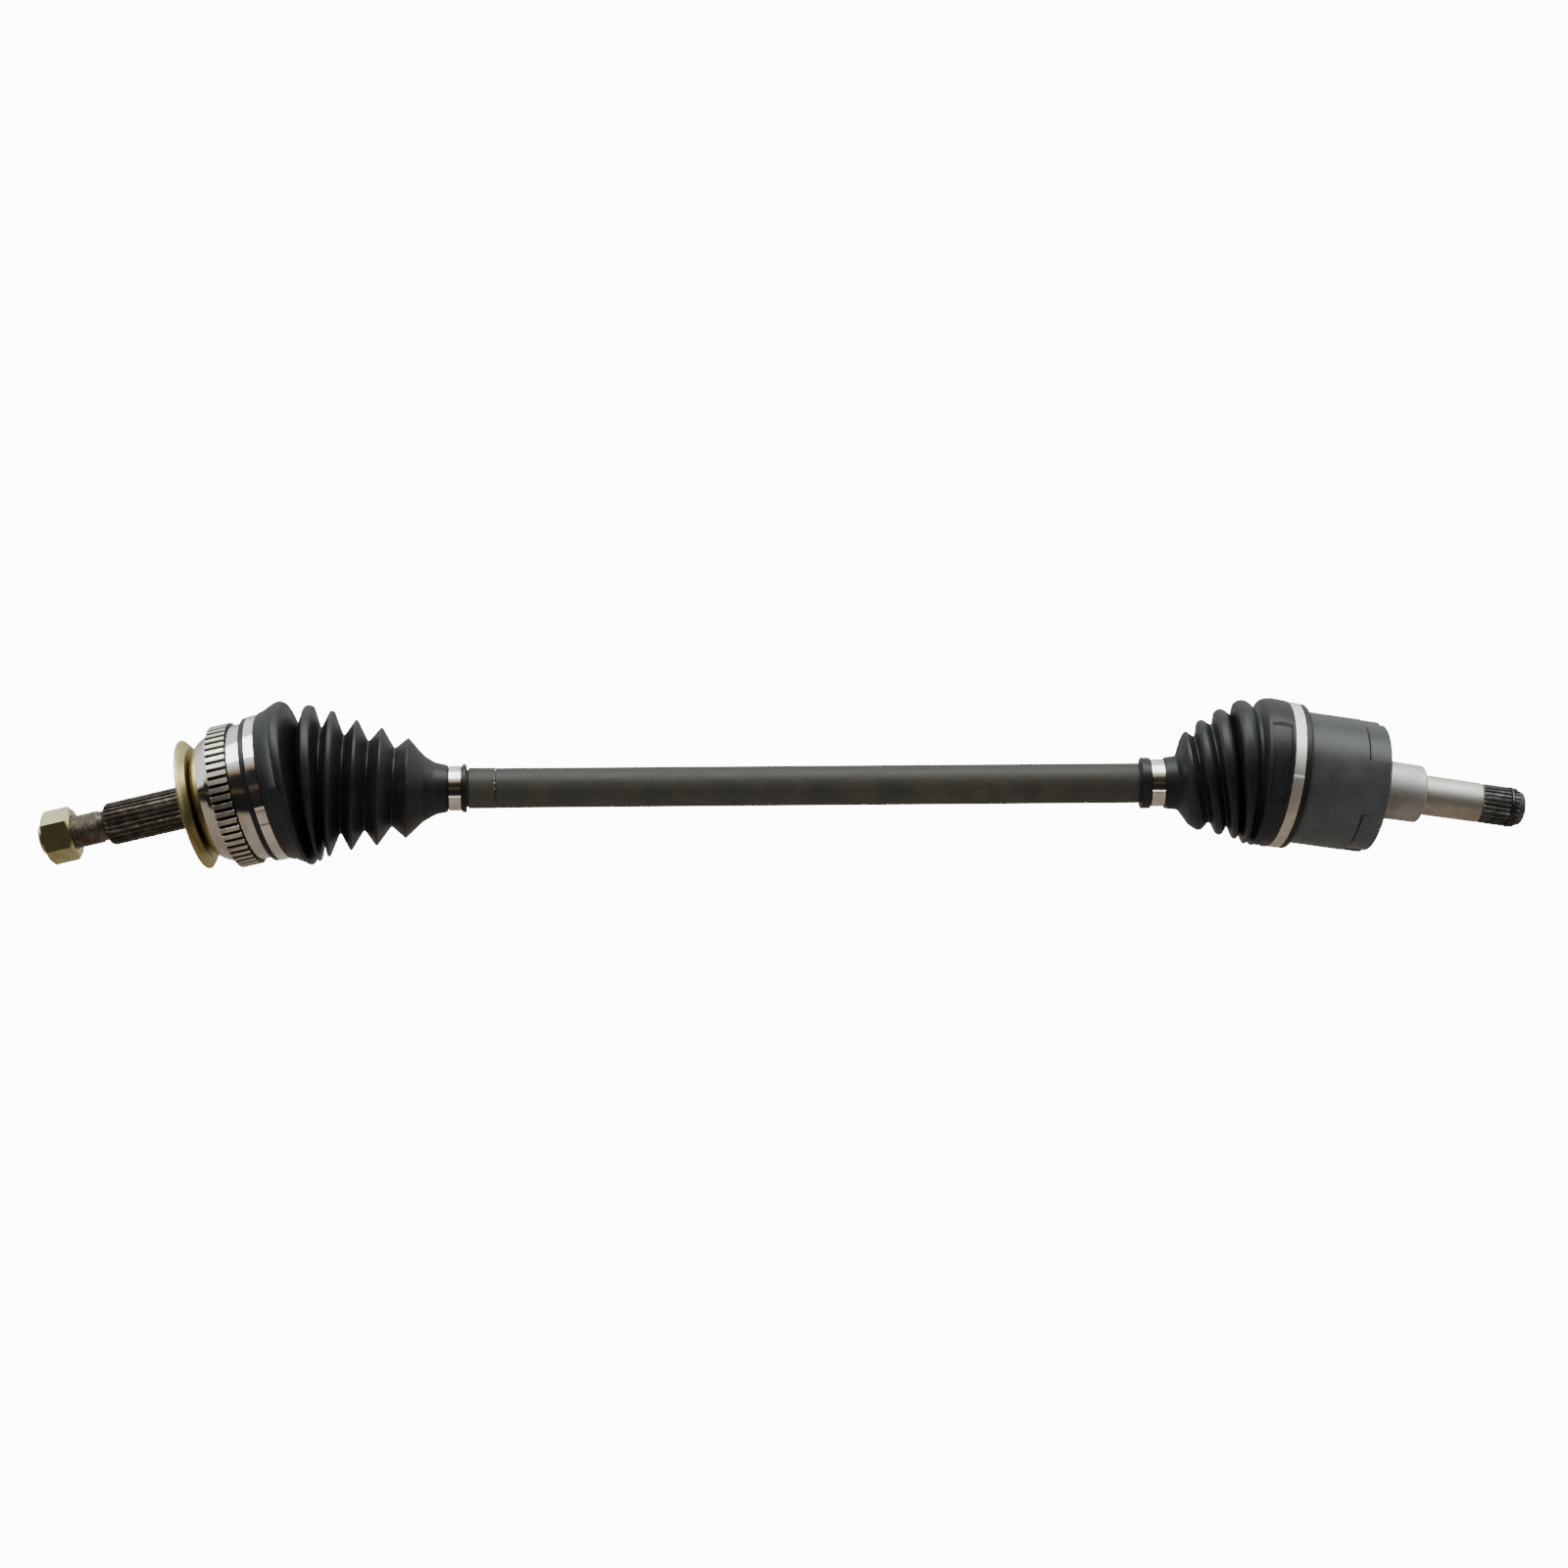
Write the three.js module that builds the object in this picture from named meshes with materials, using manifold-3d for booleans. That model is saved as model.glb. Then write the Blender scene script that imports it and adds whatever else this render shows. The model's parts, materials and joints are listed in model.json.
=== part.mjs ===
// Front-wheel-drive half shaft: a fixed six-ball joint at the wheel end, a plunging tripod joint at
// the gearbox end, and a bar between them. It lies on a level surface with both joints drooping.
// Millimetres. +X runs from the wheel end to the gearbox end, +Z is up.
import * as THREE from 'three';
import { mergeVertices } from 'three/addons/utils/BufferGeometryUtils.js';
import Module from 'manifold-3d';

const wasm = await Module();
wasm.setup();

// ---------------------------------------------------------------- driving dimensions
const PIVOT_SPAN = 722;            // between the two joint centres
const OUTBOARD_DROOP = 14.6;       // degrees that the wheel stub hangs below the bar's line
const INBOARD_DROOP = 9.8;         // degrees that the gearbox stub hangs below the bar's line
const FIT = 0.3;                   // gap between pieces that touch on the real axle

const BAR_R = 13.5;                // painted bar
const BAR_COLLAR_R = 13.7;         // slightly thicker length beside the outboard boot
const BAR_COLLAR_END = 158.6;      // from the outboard pivot
const BAR_NECK_R = 12.5;           // ends of the bar, inside the joints
const BAR_SEAT_R = 12.6;           // grooves under the boots' small ends
const BAR_SPLINE_R = 12.5;
const BAR_SPLINE_ROOT_R = 11.6;
const BAR_SPLINE_TEETH = 24;
const BAR_END_OUT = 15.5;          // bar's end past the outboard pivot
const BAR_END_IN = 15.5;           // bar's end past the inboard pivot

const BALL_COUNT = 6;
const BALL_R = 8.7;
const BALL_PITCH_R = 30;
const INNER_RACE_R = 28;
const INNER_RACE_HALF = 11.5;
const CAGE_INNER_R = 28.8;
const CAGE_OUTER_R = 34.2;
const CAGE_HALF = 12;
const BELL_CAVITY_R = 35;
const BELL_CAVITY_DEPTH = 27.5;
const BELL_RIM = -13;              // rim, on the bar's side of the pivot
const BELL_BAND_R = 46;
const BELL_SEAT_R = 45.3;          // land under the boot
const TRACK_TUBE_R = 9.6;          // radius of a ball track's section
const INNER_TRACK_WIDEN = 1.1;     // tracks are wider than deep, so the balls can swing aside
const OUTER_TRACK_WIDEN = 1.42;

const RELIEF_NECK_R = 10.2;        // between the spline and the thread
const HUB_SPLINE_R = 14.4;
const HUB_SPLINE_ROOT_R = 13.3;
const HUB_SPLINE_TEETH = 27;
const BELL_FACE = 39.5;             // flat face at the foot of the bell's shoulder
const BELL_FACE_R = 30;
const HUB_SPLINE_END = 105;
const THREAD_R = 11;
const DEFLECTOR_R = 44;
const STUB_END = 152;
const NUT_FLATS = 32;
const NUT_START = 128;
const NUT_END = 148;

const TONE_TEETH = 54;
const TONE_TIP_R = 48.5;
const TONE_ROOT_R = 46.9;
const TONE_START = 8;
const TONE_END = 22;

const CLAMP_R = 49.5;              // both large clamps
const CLAMP_SEAT_OUT_R = 48.1;     // grooves in the boots under the large clamps
const CLAMP_SEAT_IN_R = 48.3;
const NECK_SEAT_OUT_R = 14.2;      // and under the small clamps
const NECK_SEAT_IN_R = 15;
const CLAMP_LAP = 0.45;            // how far the upper strip stands above the band
const CLAMP_LAP_DEGREES = 42;      // arc where the strip's ends lie over each other

const HOUSING_R = 44.8;
const HOUSING_MOUTH = -44;
const HOUSING_END = 31;
const HOUSING_CAVITY_END = 27;
const RELIEF_DEPTH = 2;            // three relieved sectors between the tracks
const RELIEF_START = 14.4;
const RELIEF_DEGREES = 70;
const TRIPOD_R = 23;               // roller centres from the joint's axis
const TRIPOD_TRACK_HALF = 17;      // half the width of a roller track
const TRIPOD_TRACK_IN = 21.4;      // centres of the track section's two round ends
const TRIPOD_TRACK_OUT = 23.4;
const TRIPOD_AZIMUTHS = [30, 150, 270];
const ROLLER_R = 16;
const ROLLER_HALF = 5.5;
const ROLLER_BORE_R = 11.3;
const TRUNNION_R = 8.5;
const TRUNNION_END = 31;
const SPIDER_HUB_R = 16.5;
const SPIDER_HALF = 11;
const NEEDLES = 15;

const BOSS_R = 19.5;
const BOSS_END = 63.4;
const JOURNAL_R = 13.5;
const JOURNAL_END = 105.2;
const GEARBOX_SPLINE_R = 13.4;
const GEARBOX_SPLINE_ROOT_R = 12.4;
const GEARBOX_SPLINE_TEETH = 26;
const GEARBOX_SPLINE_END = 131;
const GEARBOX_END = 136;
const CIRCLIP_AT = 126.2;

const ROUND_SIDES = 30;
const BAR_SIDES = 20;

// ---------------------------------------------------------------- finishes
const finish = (color, roughness, metalness) => {
  return new THREE.MeshStandardMaterial({ color, roughness, metalness });
};
const machined = finish(0xc9c9c6, 0.22, 1);
const yellowZinc = finish(0xb9a468, 0.35, 1);
const bandSteel = finish(0xd8d6cc, 0.25, 1);
const satinBand = finish(0xc2c1b6, 0.4, 1);
const barPaint = finish(0x35332c, 0.55, 0.2);
const housingPaint = finish(0x3f4443, 0.5, 0.2);
const rubber = finish(0x16181b, 0.6, 0);
const bearingSteel = finish(0xb4b6b8, 0.2, 1);
const springSteel = finish(0x2b2b2b, 0.4, 0.9);

// ---------------------------------------------------------------- making solids
const radians = THREE.MathUtils.degToRad;

// A closed geometry with shared vertices, no collapsed triangles, and its faces pointing out.
function closed(geometry) {
  geometry.deleteAttribute('normal');
  geometry.deleteAttribute('uv');
  const merged = mergeVertices(geometry, 1e-4);
  const p = merged.attributes.position;
  const kept = [];
  let volume = 0;
  for (let i = 0; i < merged.index.count; i += 3) {
    const [a, b, c] = [0, 1, 2].map((k) => merged.index.getX(i + k));
    if (a === b || b === c || c === a) continue;
    kept.push(a, b, c);
    const [A, B, C] = [a, b, c].map((v) => new THREE.Vector3().fromBufferAttribute(p, v));
    volume += A.dot(B.cross(C));
  }
  if (volume < 0) kept.reverse();
  merged.setIndex(kept);
  return merged;
}

function solid(geometry) {
  const g = closed(geometry);
  return new wasm.Manifold(new wasm.Mesh({
    numProp: 3,
    vertProperties: new Float32Array(g.attributes.position.array),
    triVerts: new Uint32Array(g.index.array),
  }));
}

function geometryOf(manifold) {
  const mesh = manifold.getMesh();
  const geometry = new THREE.BufferGeometry();
  geometry.setAttribute('position', new THREE.BufferAttribute(mesh.vertProperties, 3));
  geometry.setIndex(new THREE.BufferAttribute(mesh.triVerts, 1));
  return geometry;
}

// A body turned about the X axis, from [x, radius] points that start and end on the axis or meet.
function turned(points, sides = ROUND_SIDES) {
  const outline = points.map(([x, r]) => new THREE.Vector2(r, x));
  return new THREE.LatheGeometry(outline, sides).rotateZ(-Math.PI / 2);
}

// A turned ring: its section is given without repeating the first point.
const turnedRing = (points, sides) => turned([...points, points[0]], sides);

// A shape drawn in the YZ plane, extruded along +X from x.
function extrudedX(shape, x, length, curveSegments = 1) {
  const settings = { depth: length, bevelEnabled: false, curveSegments };
  const geometry = new THREE.ExtrudeGeometry(shape, settings);
  const axes = new THREE.Matrix4().makeBasis(
    new THREE.Vector3(0, 1, 0),
    new THREE.Vector3(0, 0, 1),
    new THREE.Vector3(1, 0, 0),
  );
  return geometry.applyMatrix4(axes).translate(x, 0, 0);
}

const polar = (r, degrees) => {
  return new THREE.Vector2(r * Math.cos(radians(degrees)), r * Math.sin(radians(degrees)));
};

// The tone ring's outline: square teeth, each a root, two tip corners and a root again.
function toothedShape(rootR, tipR, teeth) {
  const pitch = 360 / teeth;
  const points = [];
  for (let i = 0; i < teeth; i++) {
    const a = i * pitch;
    points.push(polar(rootR, a + pitch * 0.1));
    points.push(polar(tipR, a + pitch * 0.25));
    points.push(polar(tipR, a + pitch * 0.75));
    points.push(polar(rootR, a + pitch * 0.9));
  }
  return new THREE.Shape(points);
}

// A spline's outline: pointed teeth.
function splineShape(rootR, tipR, teeth) {
  const pitch = 360 / teeth;
  const points = [];
  for (let i = 0; i < teeth; i++) points.push(polar(rootR, i * pitch), polar(tipR, (i + 0.5) * pitch));
  return new THREE.Shape(points);
}

function circlePath(r, sides) {
  const points = [];
  for (let i = 0; i < sides; i++) points.push(polar(r, (360 * i) / sides + 90));
  return new THREE.Path(points);
}

// Points of a circular arc in an [x, radius] outline, centred on the axis at x = 0.
function arcPoints(r, fromX, toX, steps) {
  const a = Math.acos(fromX / r);
  const b = Math.acos(toX / r);
  const points = [];
  for (let i = 0; i <= steps; i++) {
    const t = a + ((b - a) * i) / steps;
    points.push([r * Math.cos(t), r * Math.sin(t)]);
  }
  return points;
}

const smooth = (u) => {
  const t = Math.min(Math.max(u, 0), 1);
  return t * t * (3 - 2 * t);
};

// ---------------------------------------------------------------- the frames
// The axle lies on its dust deflector and on the rim of the tripod housing, so the bar runs
// very slightly downhill to the gearbox end.
const lie = new THREE.Group();
const outboardPivot = new THREE.Group();
outboardPivot.position.x = -PIVOT_SPAN / 2;
const outboardStub = new THREE.Group();      // local +X runs out along the wheel stub
outboardStub.rotation.set(0, -radians(OUTBOARD_DROOP), Math.PI);
outboardPivot.add(outboardStub);
const inboardPivot = new THREE.Group();
inboardPivot.position.x = PIVOT_SPAN / 2;
const inboardStub = new THREE.Group();       // local +X runs out along the gearbox stub
inboardStub.rotation.y = radians(INBOARD_DROOP);
inboardPivot.add(inboardStub);
lie.add(outboardPivot, inboardPivot);

function piece(name, geometry, material, parent) {
  const mesh = new THREE.Mesh(closed(geometry), material);
  mesh.name = name;
  parent.add(mesh);
  return mesh;
}

// ---------------------------------------------------------------- ball tracks
// Each torus is a pair of opposite tracks: a groove of constant distance from the pivot.
function ballTracks(widen, fromX, toX) {
  const tracks = [];
  for (let i = 0; i < BALL_COUNT / 2; i++) {
    const ring = new THREE.TorusGeometry(BALL_PITCH_R, TRACK_TUBE_R, 12, 28);
    ring.scale(1, 1, widen).rotateX(radians((i * 360) / BALL_COUNT));
    const reach = new THREE.BoxGeometry(toX - fromX, 100, 100).translate((fromX + toX) / 2, 0, 0);
    tracks.push(solid(ring).intersect(solid(reach)));
  }
  return tracks;
}

// ---------------------------------------------------------------- outboard race and wheel stub
function outboardRace() {
  const outside = solid(turned([
    [BELL_RIM, 0],
    [BELL_RIM, BELL_SEAT_R - 1.2],
    [BELL_RIM + 1.2, BELL_SEAT_R],
    [-1, BELL_SEAT_R],
    [-1, BELL_BAND_R],
    [TONE_START, BELL_BAND_R],
    [TONE_START, BELL_BAND_R - 1.5],
    [TONE_END, BELL_BAND_R - 1.5],
    [25, 43.2],
    [31, 40.2],
    [36, 36],
    [BELL_FACE, BELL_FACE_R],
    [BELL_FACE, HUB_SPLINE_ROOT_R],
    [HUB_SPLINE_END, HUB_SPLINE_ROOT_R],
    [HUB_SPLINE_END + 1.5, RELIEF_NECK_R],
    [HUB_SPLINE_END + 4.5, RELIEF_NECK_R],
    [HUB_SPLINE_END + 5.5, THREAD_R],
    [STUB_END - 1.5, THREAD_R],
    [STUB_END, THREAD_R - 1.5],
    [STUB_END, 0],
  ]));
  const splineStart = BELL_FACE - 0.5;
  const teeth = splineShape(HUB_SPLINE_ROOT_R - 0.4, HUB_SPLINE_R, HUB_SPLINE_TEETH);
  const spline = solid(extrudedX(teeth, splineStart, HUB_SPLINE_END - splineStart));
  const cavity = solid(turned([
    [BELL_CAVITY_DEPTH, 0],
    ...arcPoints(BELL_CAVITY_R, BELL_CAVITY_DEPTH, BELL_RIM, 7),
    [BELL_RIM - 2, 34],
    [BELL_RIM - 2, 0],
  ]));
  let race = outside.add(spline).subtract(cavity);
  for (const track of ballTracks(OUTER_TRACK_WIDEN, BELL_RIM - 20, 25)) race = race.subtract(track);
  return geometryOf(race);
}

// ---------------------------------------------------------------- tone ring, deflector, nut
function toneRing() {
  const outline = toothedShape(TONE_ROOT_R, TONE_TIP_R, TONE_TEETH);
  outline.holes.push(circlePath(BELL_BAND_R - 1.5 + FIT, ROUND_SIDES));
  return extrudedX(outline, TONE_START + FIT, TONE_END - TONE_START - 2 * FIT);
}

// A pressed ring: a flat web on the bell's face, and a flared rim that is folded back on the bell.
function dustDeflector() {
  const webIn = BELL_FACE + 0.4;
  const webOut = webIn + 1.2;
  return turnedRing([
    [webIn, HUB_SPLINE_R + FIT],
    [webIn, DEFLECTOR_R - 8.4],
    [webIn - 1, DEFLECTOR_R - 6.6],
    [webIn - 1, DEFLECTOR_R - 5.6],
    [webIn + 2.7, DEFLECTOR_R - 1.6],
    [webIn + 4.9, DEFLECTOR_R],
    [webIn + 6.3, DEFLECTOR_R - 0.4],
    [webOut + 1.9, DEFLECTOR_R - 6.4],
    [webOut, DEFLECTOR_R - 11],
    [webOut, HUB_SPLINE_R + FIT],
  ]);
}

function hubNut() {
  const corner = NUT_FLATS / Math.sqrt(3);
  const outline = new THREE.Shape([0, 1, 2, 3, 4, 5].map((i) => polar(corner, 60 * i)));
  const hex = solid(extrudedX(outline, NUT_START, NUT_END - NUT_START));
  const chamfer = solid(turned([
    [NUT_START, 0],
    [NUT_START, corner - 2.2],
    [NUT_START + 1.4, corner + 0.4],
    [NUT_END - 1.4, corner + 0.4],
    [NUT_END, corner - 2.2],
    [NUT_END, 0],
  ]));
  const bore = solid(turned([
    [NUT_START - 1, 0],
    [NUT_START - 1, THREAD_R + FIT],
    [NUT_END + 1, THREAD_R + FIT],
    [NUT_END + 1, 0],
  ]));
  return geometryOf(hex.intersect(chamfer).subtract(bore));
}

// ---------------------------------------------------------------- parts inside the ball joint
function innerRace() {
  let race = solid(turned([
    [-INNER_RACE_HALF, BAR_SPLINE_R + FIT],
    ...arcPoints(INNER_RACE_R, -INNER_RACE_HALF, INNER_RACE_HALF, 4),
    [INNER_RACE_HALF, BAR_SPLINE_R + FIT],
    [-INNER_RACE_HALF, BAR_SPLINE_R + FIT],
  ]));
  for (const track of ballTracks(INNER_TRACK_WIDEN, -30, 30)) race = race.subtract(track);
  return geometryOf(race);
}

function cage() {
  let shell = solid(turnedRing([
    ...arcPoints(CAGE_OUTER_R, -CAGE_HALF, CAGE_HALF, 4),
    ...arcPoints(CAGE_INNER_R, CAGE_HALF, -CAGE_HALF, 4),
  ]));
  const window = 2 * (BALL_R + FIT);
  for (let i = 0; i < BALL_COUNT; i++) {
    const opening = new THREE.BoxGeometry(window, 20, window + 2).translate(0, 32, 0);
    shell = shell.subtract(solid(opening.rotateX(radians((i * 360) / BALL_COUNT))));
  }
  return geometryOf(shell);
}

// ---------------------------------------------------------------- boots
// A boot is a stack of rings. Each has a place along the bar's line, a radius, a lift above that
// line, and a lean, so the stack follows the bent joint from the stub's line to the bar's.
const softMin = (a, b) => -0.6 * Math.log(Math.exp(-a / 0.6) + Math.exp(-b / 0.6));

const outboardCurve = {
  lean: (t) => OUTBOARD_DROOP * (1 - smooth((t - 18) / 34)) - 3.6 * hump((t - 30) / 88),
  lift: (t) => softMin(t * Math.tan(radians(OUTBOARD_DROOP)), 5.3 * (1 - smooth((t - 25) / 95))),
};

const inboardCurve = {
  lean: (t) => INBOARD_DROOP * (1 - smooth((t - 37) / 35)) - 11 * skewHump((t - 46) / 61),
  lift: (t) => softMin(t * Math.tan(radians(INBOARD_DROOP)), 8.6 * (1 - smooth((t - 54) / 53))),
};

function hump(u) {
  return u > 0 && u < 1 ? 4 * u * (1 - u) : 0;
}

function skewHump(u) {
  return u > 0 && u < 1 ? Math.sin(Math.PI * u ** 1.5) : 0;
}

// How far along the stub's line a boot still sits square to the stub.
const STUB_REACH = { 1: 14, '-1': 38.5 };
// A boot has fewer sides than the part it sits on, so its bore is opened to clear the corners.
const BOOT_BORE = 1 / Math.cos(Math.PI / BAR_SIDES);

// side is +1 where the bar runs towards +X from the pivot, and -1 where it runs towards -X.
// Rings on the stub are given along the stub's own line, and the others along the bar's.
function bellows(outside, inside, curve, droop, side, sides) {
  const section = [...outside, ...inside.slice().reverse()];
  section.push(section[0]);
  const geometry = turned(section, sides);
  const p = geometry.attributes.position;
  for (let i = 0; i < p.count; i++) {
    const along = p.getX(i);
    const onStub = along < STUB_REACH[side];
    const t = onStub ? along * Math.cos(radians(droop)) : along;
    const lean = onStub ? droop : curve.lean(t);
    const lift = onStub ? t * Math.tan(radians(droop)) : curve.lift(t);
    const y = p.getY(i);
    const z = p.getZ(i);
    p.setXYZ(
      i,
      side * (t - z * Math.sin(radians(lean))),
      y,
      lift + z * Math.cos(radians(lean)),
    );
  }
  return geometry;
}

// Both boots' folds, as [place, radius], from the joint towards the bar.
const OUTBOARD_RIDGES = [[25.2, 55.9], [37.9, 52.5], [48.6, 49], [64, 43.8], [80.9, 39.7], [99.4, 33.7]];
const OUTBOARD_VALLEYS = [[32, 37.5], [43, 36], [56.3, 32.4], [72.4, 29.8], [90.2, 26.3]];

function outboardBoot() {
  const outside = [
    [1.4, 49],
    [4.9, 49],
    [4.9, CLAMP_SEAT_OUT_R],
    [12.5, CLAMP_SEAT_OUT_R],
    [12.5, 50.2],
  ];
  const seat = (BELL_SEAT_R + FIT) * BOOT_BORE;
  const inside = [[1.4, seat], [13.6, seat], [16, 47.4]];
  OUTBOARD_RIDGES.forEach(([t, r], i) => {
    outside.push([t, r]);
    inside.push([t, r - 3.6]);
    if (i < OUTBOARD_VALLEYS.length) {
      const [vt, vr] = OUTBOARD_VALLEYS[i];
      outside.push([vt, vr]);
      inside.push([vt, vr - 2.4]);
    }
  });
  outside.push([109, 23.5], [117.7, 18], [127, 15.8], [127, NECK_SEAT_OUT_R]);
  outside.push([136.3, NECK_SEAT_OUT_R], [136.3, 16.4], [139.3, 16.4]);
  inside.push([108, 20.5], [116.5, 15.8], [126, 13.9], [127, BAR_SEAT_R + FIT]);
  inside.push([139.3, BAR_SEAT_R + FIT]);
  return bellows(outside, inside, outboardCurve, OUTBOARD_DROOP, 1, BAR_SIDES);
}

const INBOARD_BOOT_END = 25.2;
const INBOARD_RIDGES = [[60, 48.7], [70.3, 44.3], [81.5, 39.5], [93.4, 33.7]];
const INBOARD_VALLEYS = [[54.2, 42.5], [65, 38.6], [75.6, 34.2], [87.2, 29]];

function inboardBoot() {
  const outside = [
    [INBOARD_BOOT_END, 49],
    [29.9, 49],
    [29.9, CLAMP_SEAT_IN_R],
    [37.9, CLAMP_SEAT_IN_R],
    [37.9, 49.8],
    [46, 50.7],
    [50.5, 49.6],
  ];
  const seat = (HOUSING_R + FIT) * BOOT_BORE;
  const inside = [[INBOARD_BOOT_END, seat], [36.9, seat], [44.5, seat + 0.3], [47.5, 46.8]];
  INBOARD_VALLEYS.forEach(([vt, vr], i) => {
    const [t, r] = INBOARD_RIDGES[i];
    outside.push([vt, vr], [t - 2.2, r - 0.4], [t + 2.2, r - 0.4]);
    inside.push([vt, vr - 2.6], [t, r - 3.4]);
  });
  outside.push([101, 24.5], [107.2, 17.8], [112.7, 17.4], [112.7, NECK_SEAT_IN_R]);
  outside.push([122.4, NECK_SEAT_IN_R], [122.4, 17.4], [128.8, 17.4]);
  inside.push([101, 20.5], [106.5, 14.4], [110, BAR_SEAT_R + FIT], [128.8, BAR_SEAT_R + FIT]);
  return bellows(outside, inside, inboardCurve, INBOARD_DROOP, -1, BAR_SIDES);
}

// ---------------------------------------------------------------- clamps
// A strip bent round until its ends lap, so one stretch is two strips thick.
function bandClamp(innerR, outerR, from, to, lapFrom, sides) {
  const points = [];
  for (let i = 0; i < sides; i++) {
    const a = (360 * i) / sides + 90;
    const inLap = ((a - lapFrom + 720) % 360) <= CLAMP_LAP_DEGREES;
    points.push(polar(inLap ? outerR + CLAMP_LAP : outerR, a));
  }
  const outline = new THREE.Shape(points);
  outline.holes.push(circlePath(innerR, sides));
  return extrudedX(outline, from, to - from);
}

// ---------------------------------------------------------------- bar
function driveShaft() {
  const half = PIVOT_SPAN / 2;
  const out = (t) => -half + t;
  const inn = (w) => half - w;
  const bar = solid(turned([
    [out(-BAR_END_OUT), 0],
    [out(-BAR_END_OUT), BAR_SPLINE_ROOT_R - 1],
    [out(-BAR_END_OUT + 1), BAR_SPLINE_ROOT_R],
    [out(12.5), BAR_SPLINE_ROOT_R],
    [out(13.5), BAR_NECK_R],
    [out(30), BAR_NECK_R],
    [out(36), BAR_R],
    [out(125.5), BAR_R],
    [out(126.2), BAR_SEAT_R],
    [out(140.2), BAR_SEAT_R],
    [out(141), BAR_COLLAR_R],
    [out(BAR_COLLAR_END), BAR_COLLAR_R],
    [out(BAR_COLLAR_END + 0.5), BAR_R],
    [inn(130.5), BAR_R],
    [inn(129.8), BAR_SEAT_R],
    [inn(109), BAR_SEAT_R],
    [inn(108), BAR_NECK_R],
    [inn(14), BAR_NECK_R],
    [inn(13), BAR_SPLINE_ROOT_R],
    [inn(-BAR_END_IN + 1), BAR_SPLINE_ROOT_R],
    [inn(-BAR_END_IN), BAR_SPLINE_ROOT_R - 1],
    [inn(-BAR_END_IN), 0],
  ], BAR_SIDES));
  const teeth = splineShape(BAR_SPLINE_ROOT_R - 0.4, BAR_SPLINE_R, BAR_SPLINE_TEETH);
  const outboardSpline = solid(extrudedX(teeth, out(-12.2), 25));
  const inboardSpline = solid(extrudedX(teeth, inn(13.2), 24.2));
  return geometryOf(bar.add(outboardSpline).add(inboardSpline));
}

// A round-section ring sprung into a groove, left open at its ends.
function snapRing(innerR, outerR, from, to, gapDegrees, sides = BAR_SIDES) {
  const half = gapDegrees / 2;
  const outline = new THREE.Shape();
  const points = [];
  for (let i = 0; i <= sides; i++) points.push(polar(outerR, half + ((360 - gapDegrees) * i) / sides));
  for (let i = sides; i >= 0; i--) points.push(polar(innerR, half + ((360 - gapDegrees) * i) / sides));
  outline.setFromPoints(points);
  return extrudedX(outline, from, to - from);
}

// ---------------------------------------------------------------- tripod joint
function tripodHousing() {
  const outside = solid(turned([
    [HOUSING_MOUTH, 0],
    [HOUSING_MOUTH, HOUSING_R - 1],
    [HOUSING_MOUTH + 1, HOUSING_R],
    [HOUSING_END - 2.2, HOUSING_R],
    [HOUSING_END, HOUSING_R - 2.2],
    [HOUSING_END, BOSS_R],
    [BOSS_END - 1, BOSS_R],
    [BOSS_END, BOSS_R - 1],
    [BOSS_END, JOURNAL_R],
    [JOURNAL_END, JOURNAL_R],
    [JOURNAL_END, GEARBOX_SPLINE_ROOT_R],
    [CIRCLIP_AT - 1.2, GEARBOX_SPLINE_ROOT_R],
    [CIRCLIP_AT - 1.2, 11.5],
    [CIRCLIP_AT + 1.2, 11.5],
    [CIRCLIP_AT + 1.2, GEARBOX_SPLINE_ROOT_R],
    [GEARBOX_SPLINE_END, GEARBOX_SPLINE_ROOT_R],
    [GEARBOX_END, 10],
    [GEARBOX_END, 0],
  ]));
  const teeth = splineShape(GEARBOX_SPLINE_ROOT_R - 0.4, GEARBOX_SPLINE_R, GEARBOX_SPLINE_TEETH);
  const spline = solid(extrudedX(teeth, JOURNAL_END - 0.5, CIRCLIP_AT - 1.2 - JOURNAL_END + 0.5));
  const splineTip = solid(extrudedX(teeth, CIRCLIP_AT + 1.2, GEARBOX_SPLINE_END - CIRCLIP_AT - 1.2));
  const core = solid(turned([
    [HOUSING_CAVITY_END, 0],
    [HOUSING_CAVITY_END, 21.5],
    [HOUSING_MOUTH + 22, 22.8],
    [HOUSING_MOUTH - 1, 31.4],
    [HOUSING_MOUTH - 1, 0],
  ]));
  let housing = outside.add(spline).add(splineTip).subtract(core);
  for (const azimuth of TRIPOD_AZIMUTHS) {
    housing = housing.subtract(rollerTrack(azimuth)).subtract(reliefSector(azimuth + 180));
  }
  return geometryOf(housing);
}

// The space that one roller runs in: a slot with round ends, along the housing.
function rollerTrack(azimuth) {
  const outline = new THREE.Shape();
  outline.absarc(TRIPOD_TRACK_OUT, 0, TRIPOD_TRACK_HALF, -Math.PI / 2, Math.PI / 2, false);
  outline.absarc(TRIPOD_TRACK_IN, 0, TRIPOD_TRACK_HALF, Math.PI / 2, (3 * Math.PI) / 2, false);
  const start = HOUSING_MOUTH - 1;
  const slot = extrudedX(outline, start, HOUSING_CAVITY_END - start, 9);
  return solid(slot.rotateX(radians(azimuth)));
}

function reliefSector(azimuth) {
  const points = [];
  const steps = 7;
  for (let i = 0; i <= steps; i++) points.push(polar(HOUSING_R + 3, RELIEF_DEGREES * (i / steps - 0.5)));
  for (let i = steps; i >= 0; i--) {
    points.push(polar(HOUSING_R - RELIEF_DEPTH, RELIEF_DEGREES * (i / steps - 0.5)));
  }
  const sector = extrudedX(new THREE.Shape(points), RELIEF_START, HOUSING_END + 1 - RELIEF_START);
  return solid(sector.rotateX(radians(azimuth)));
}

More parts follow.
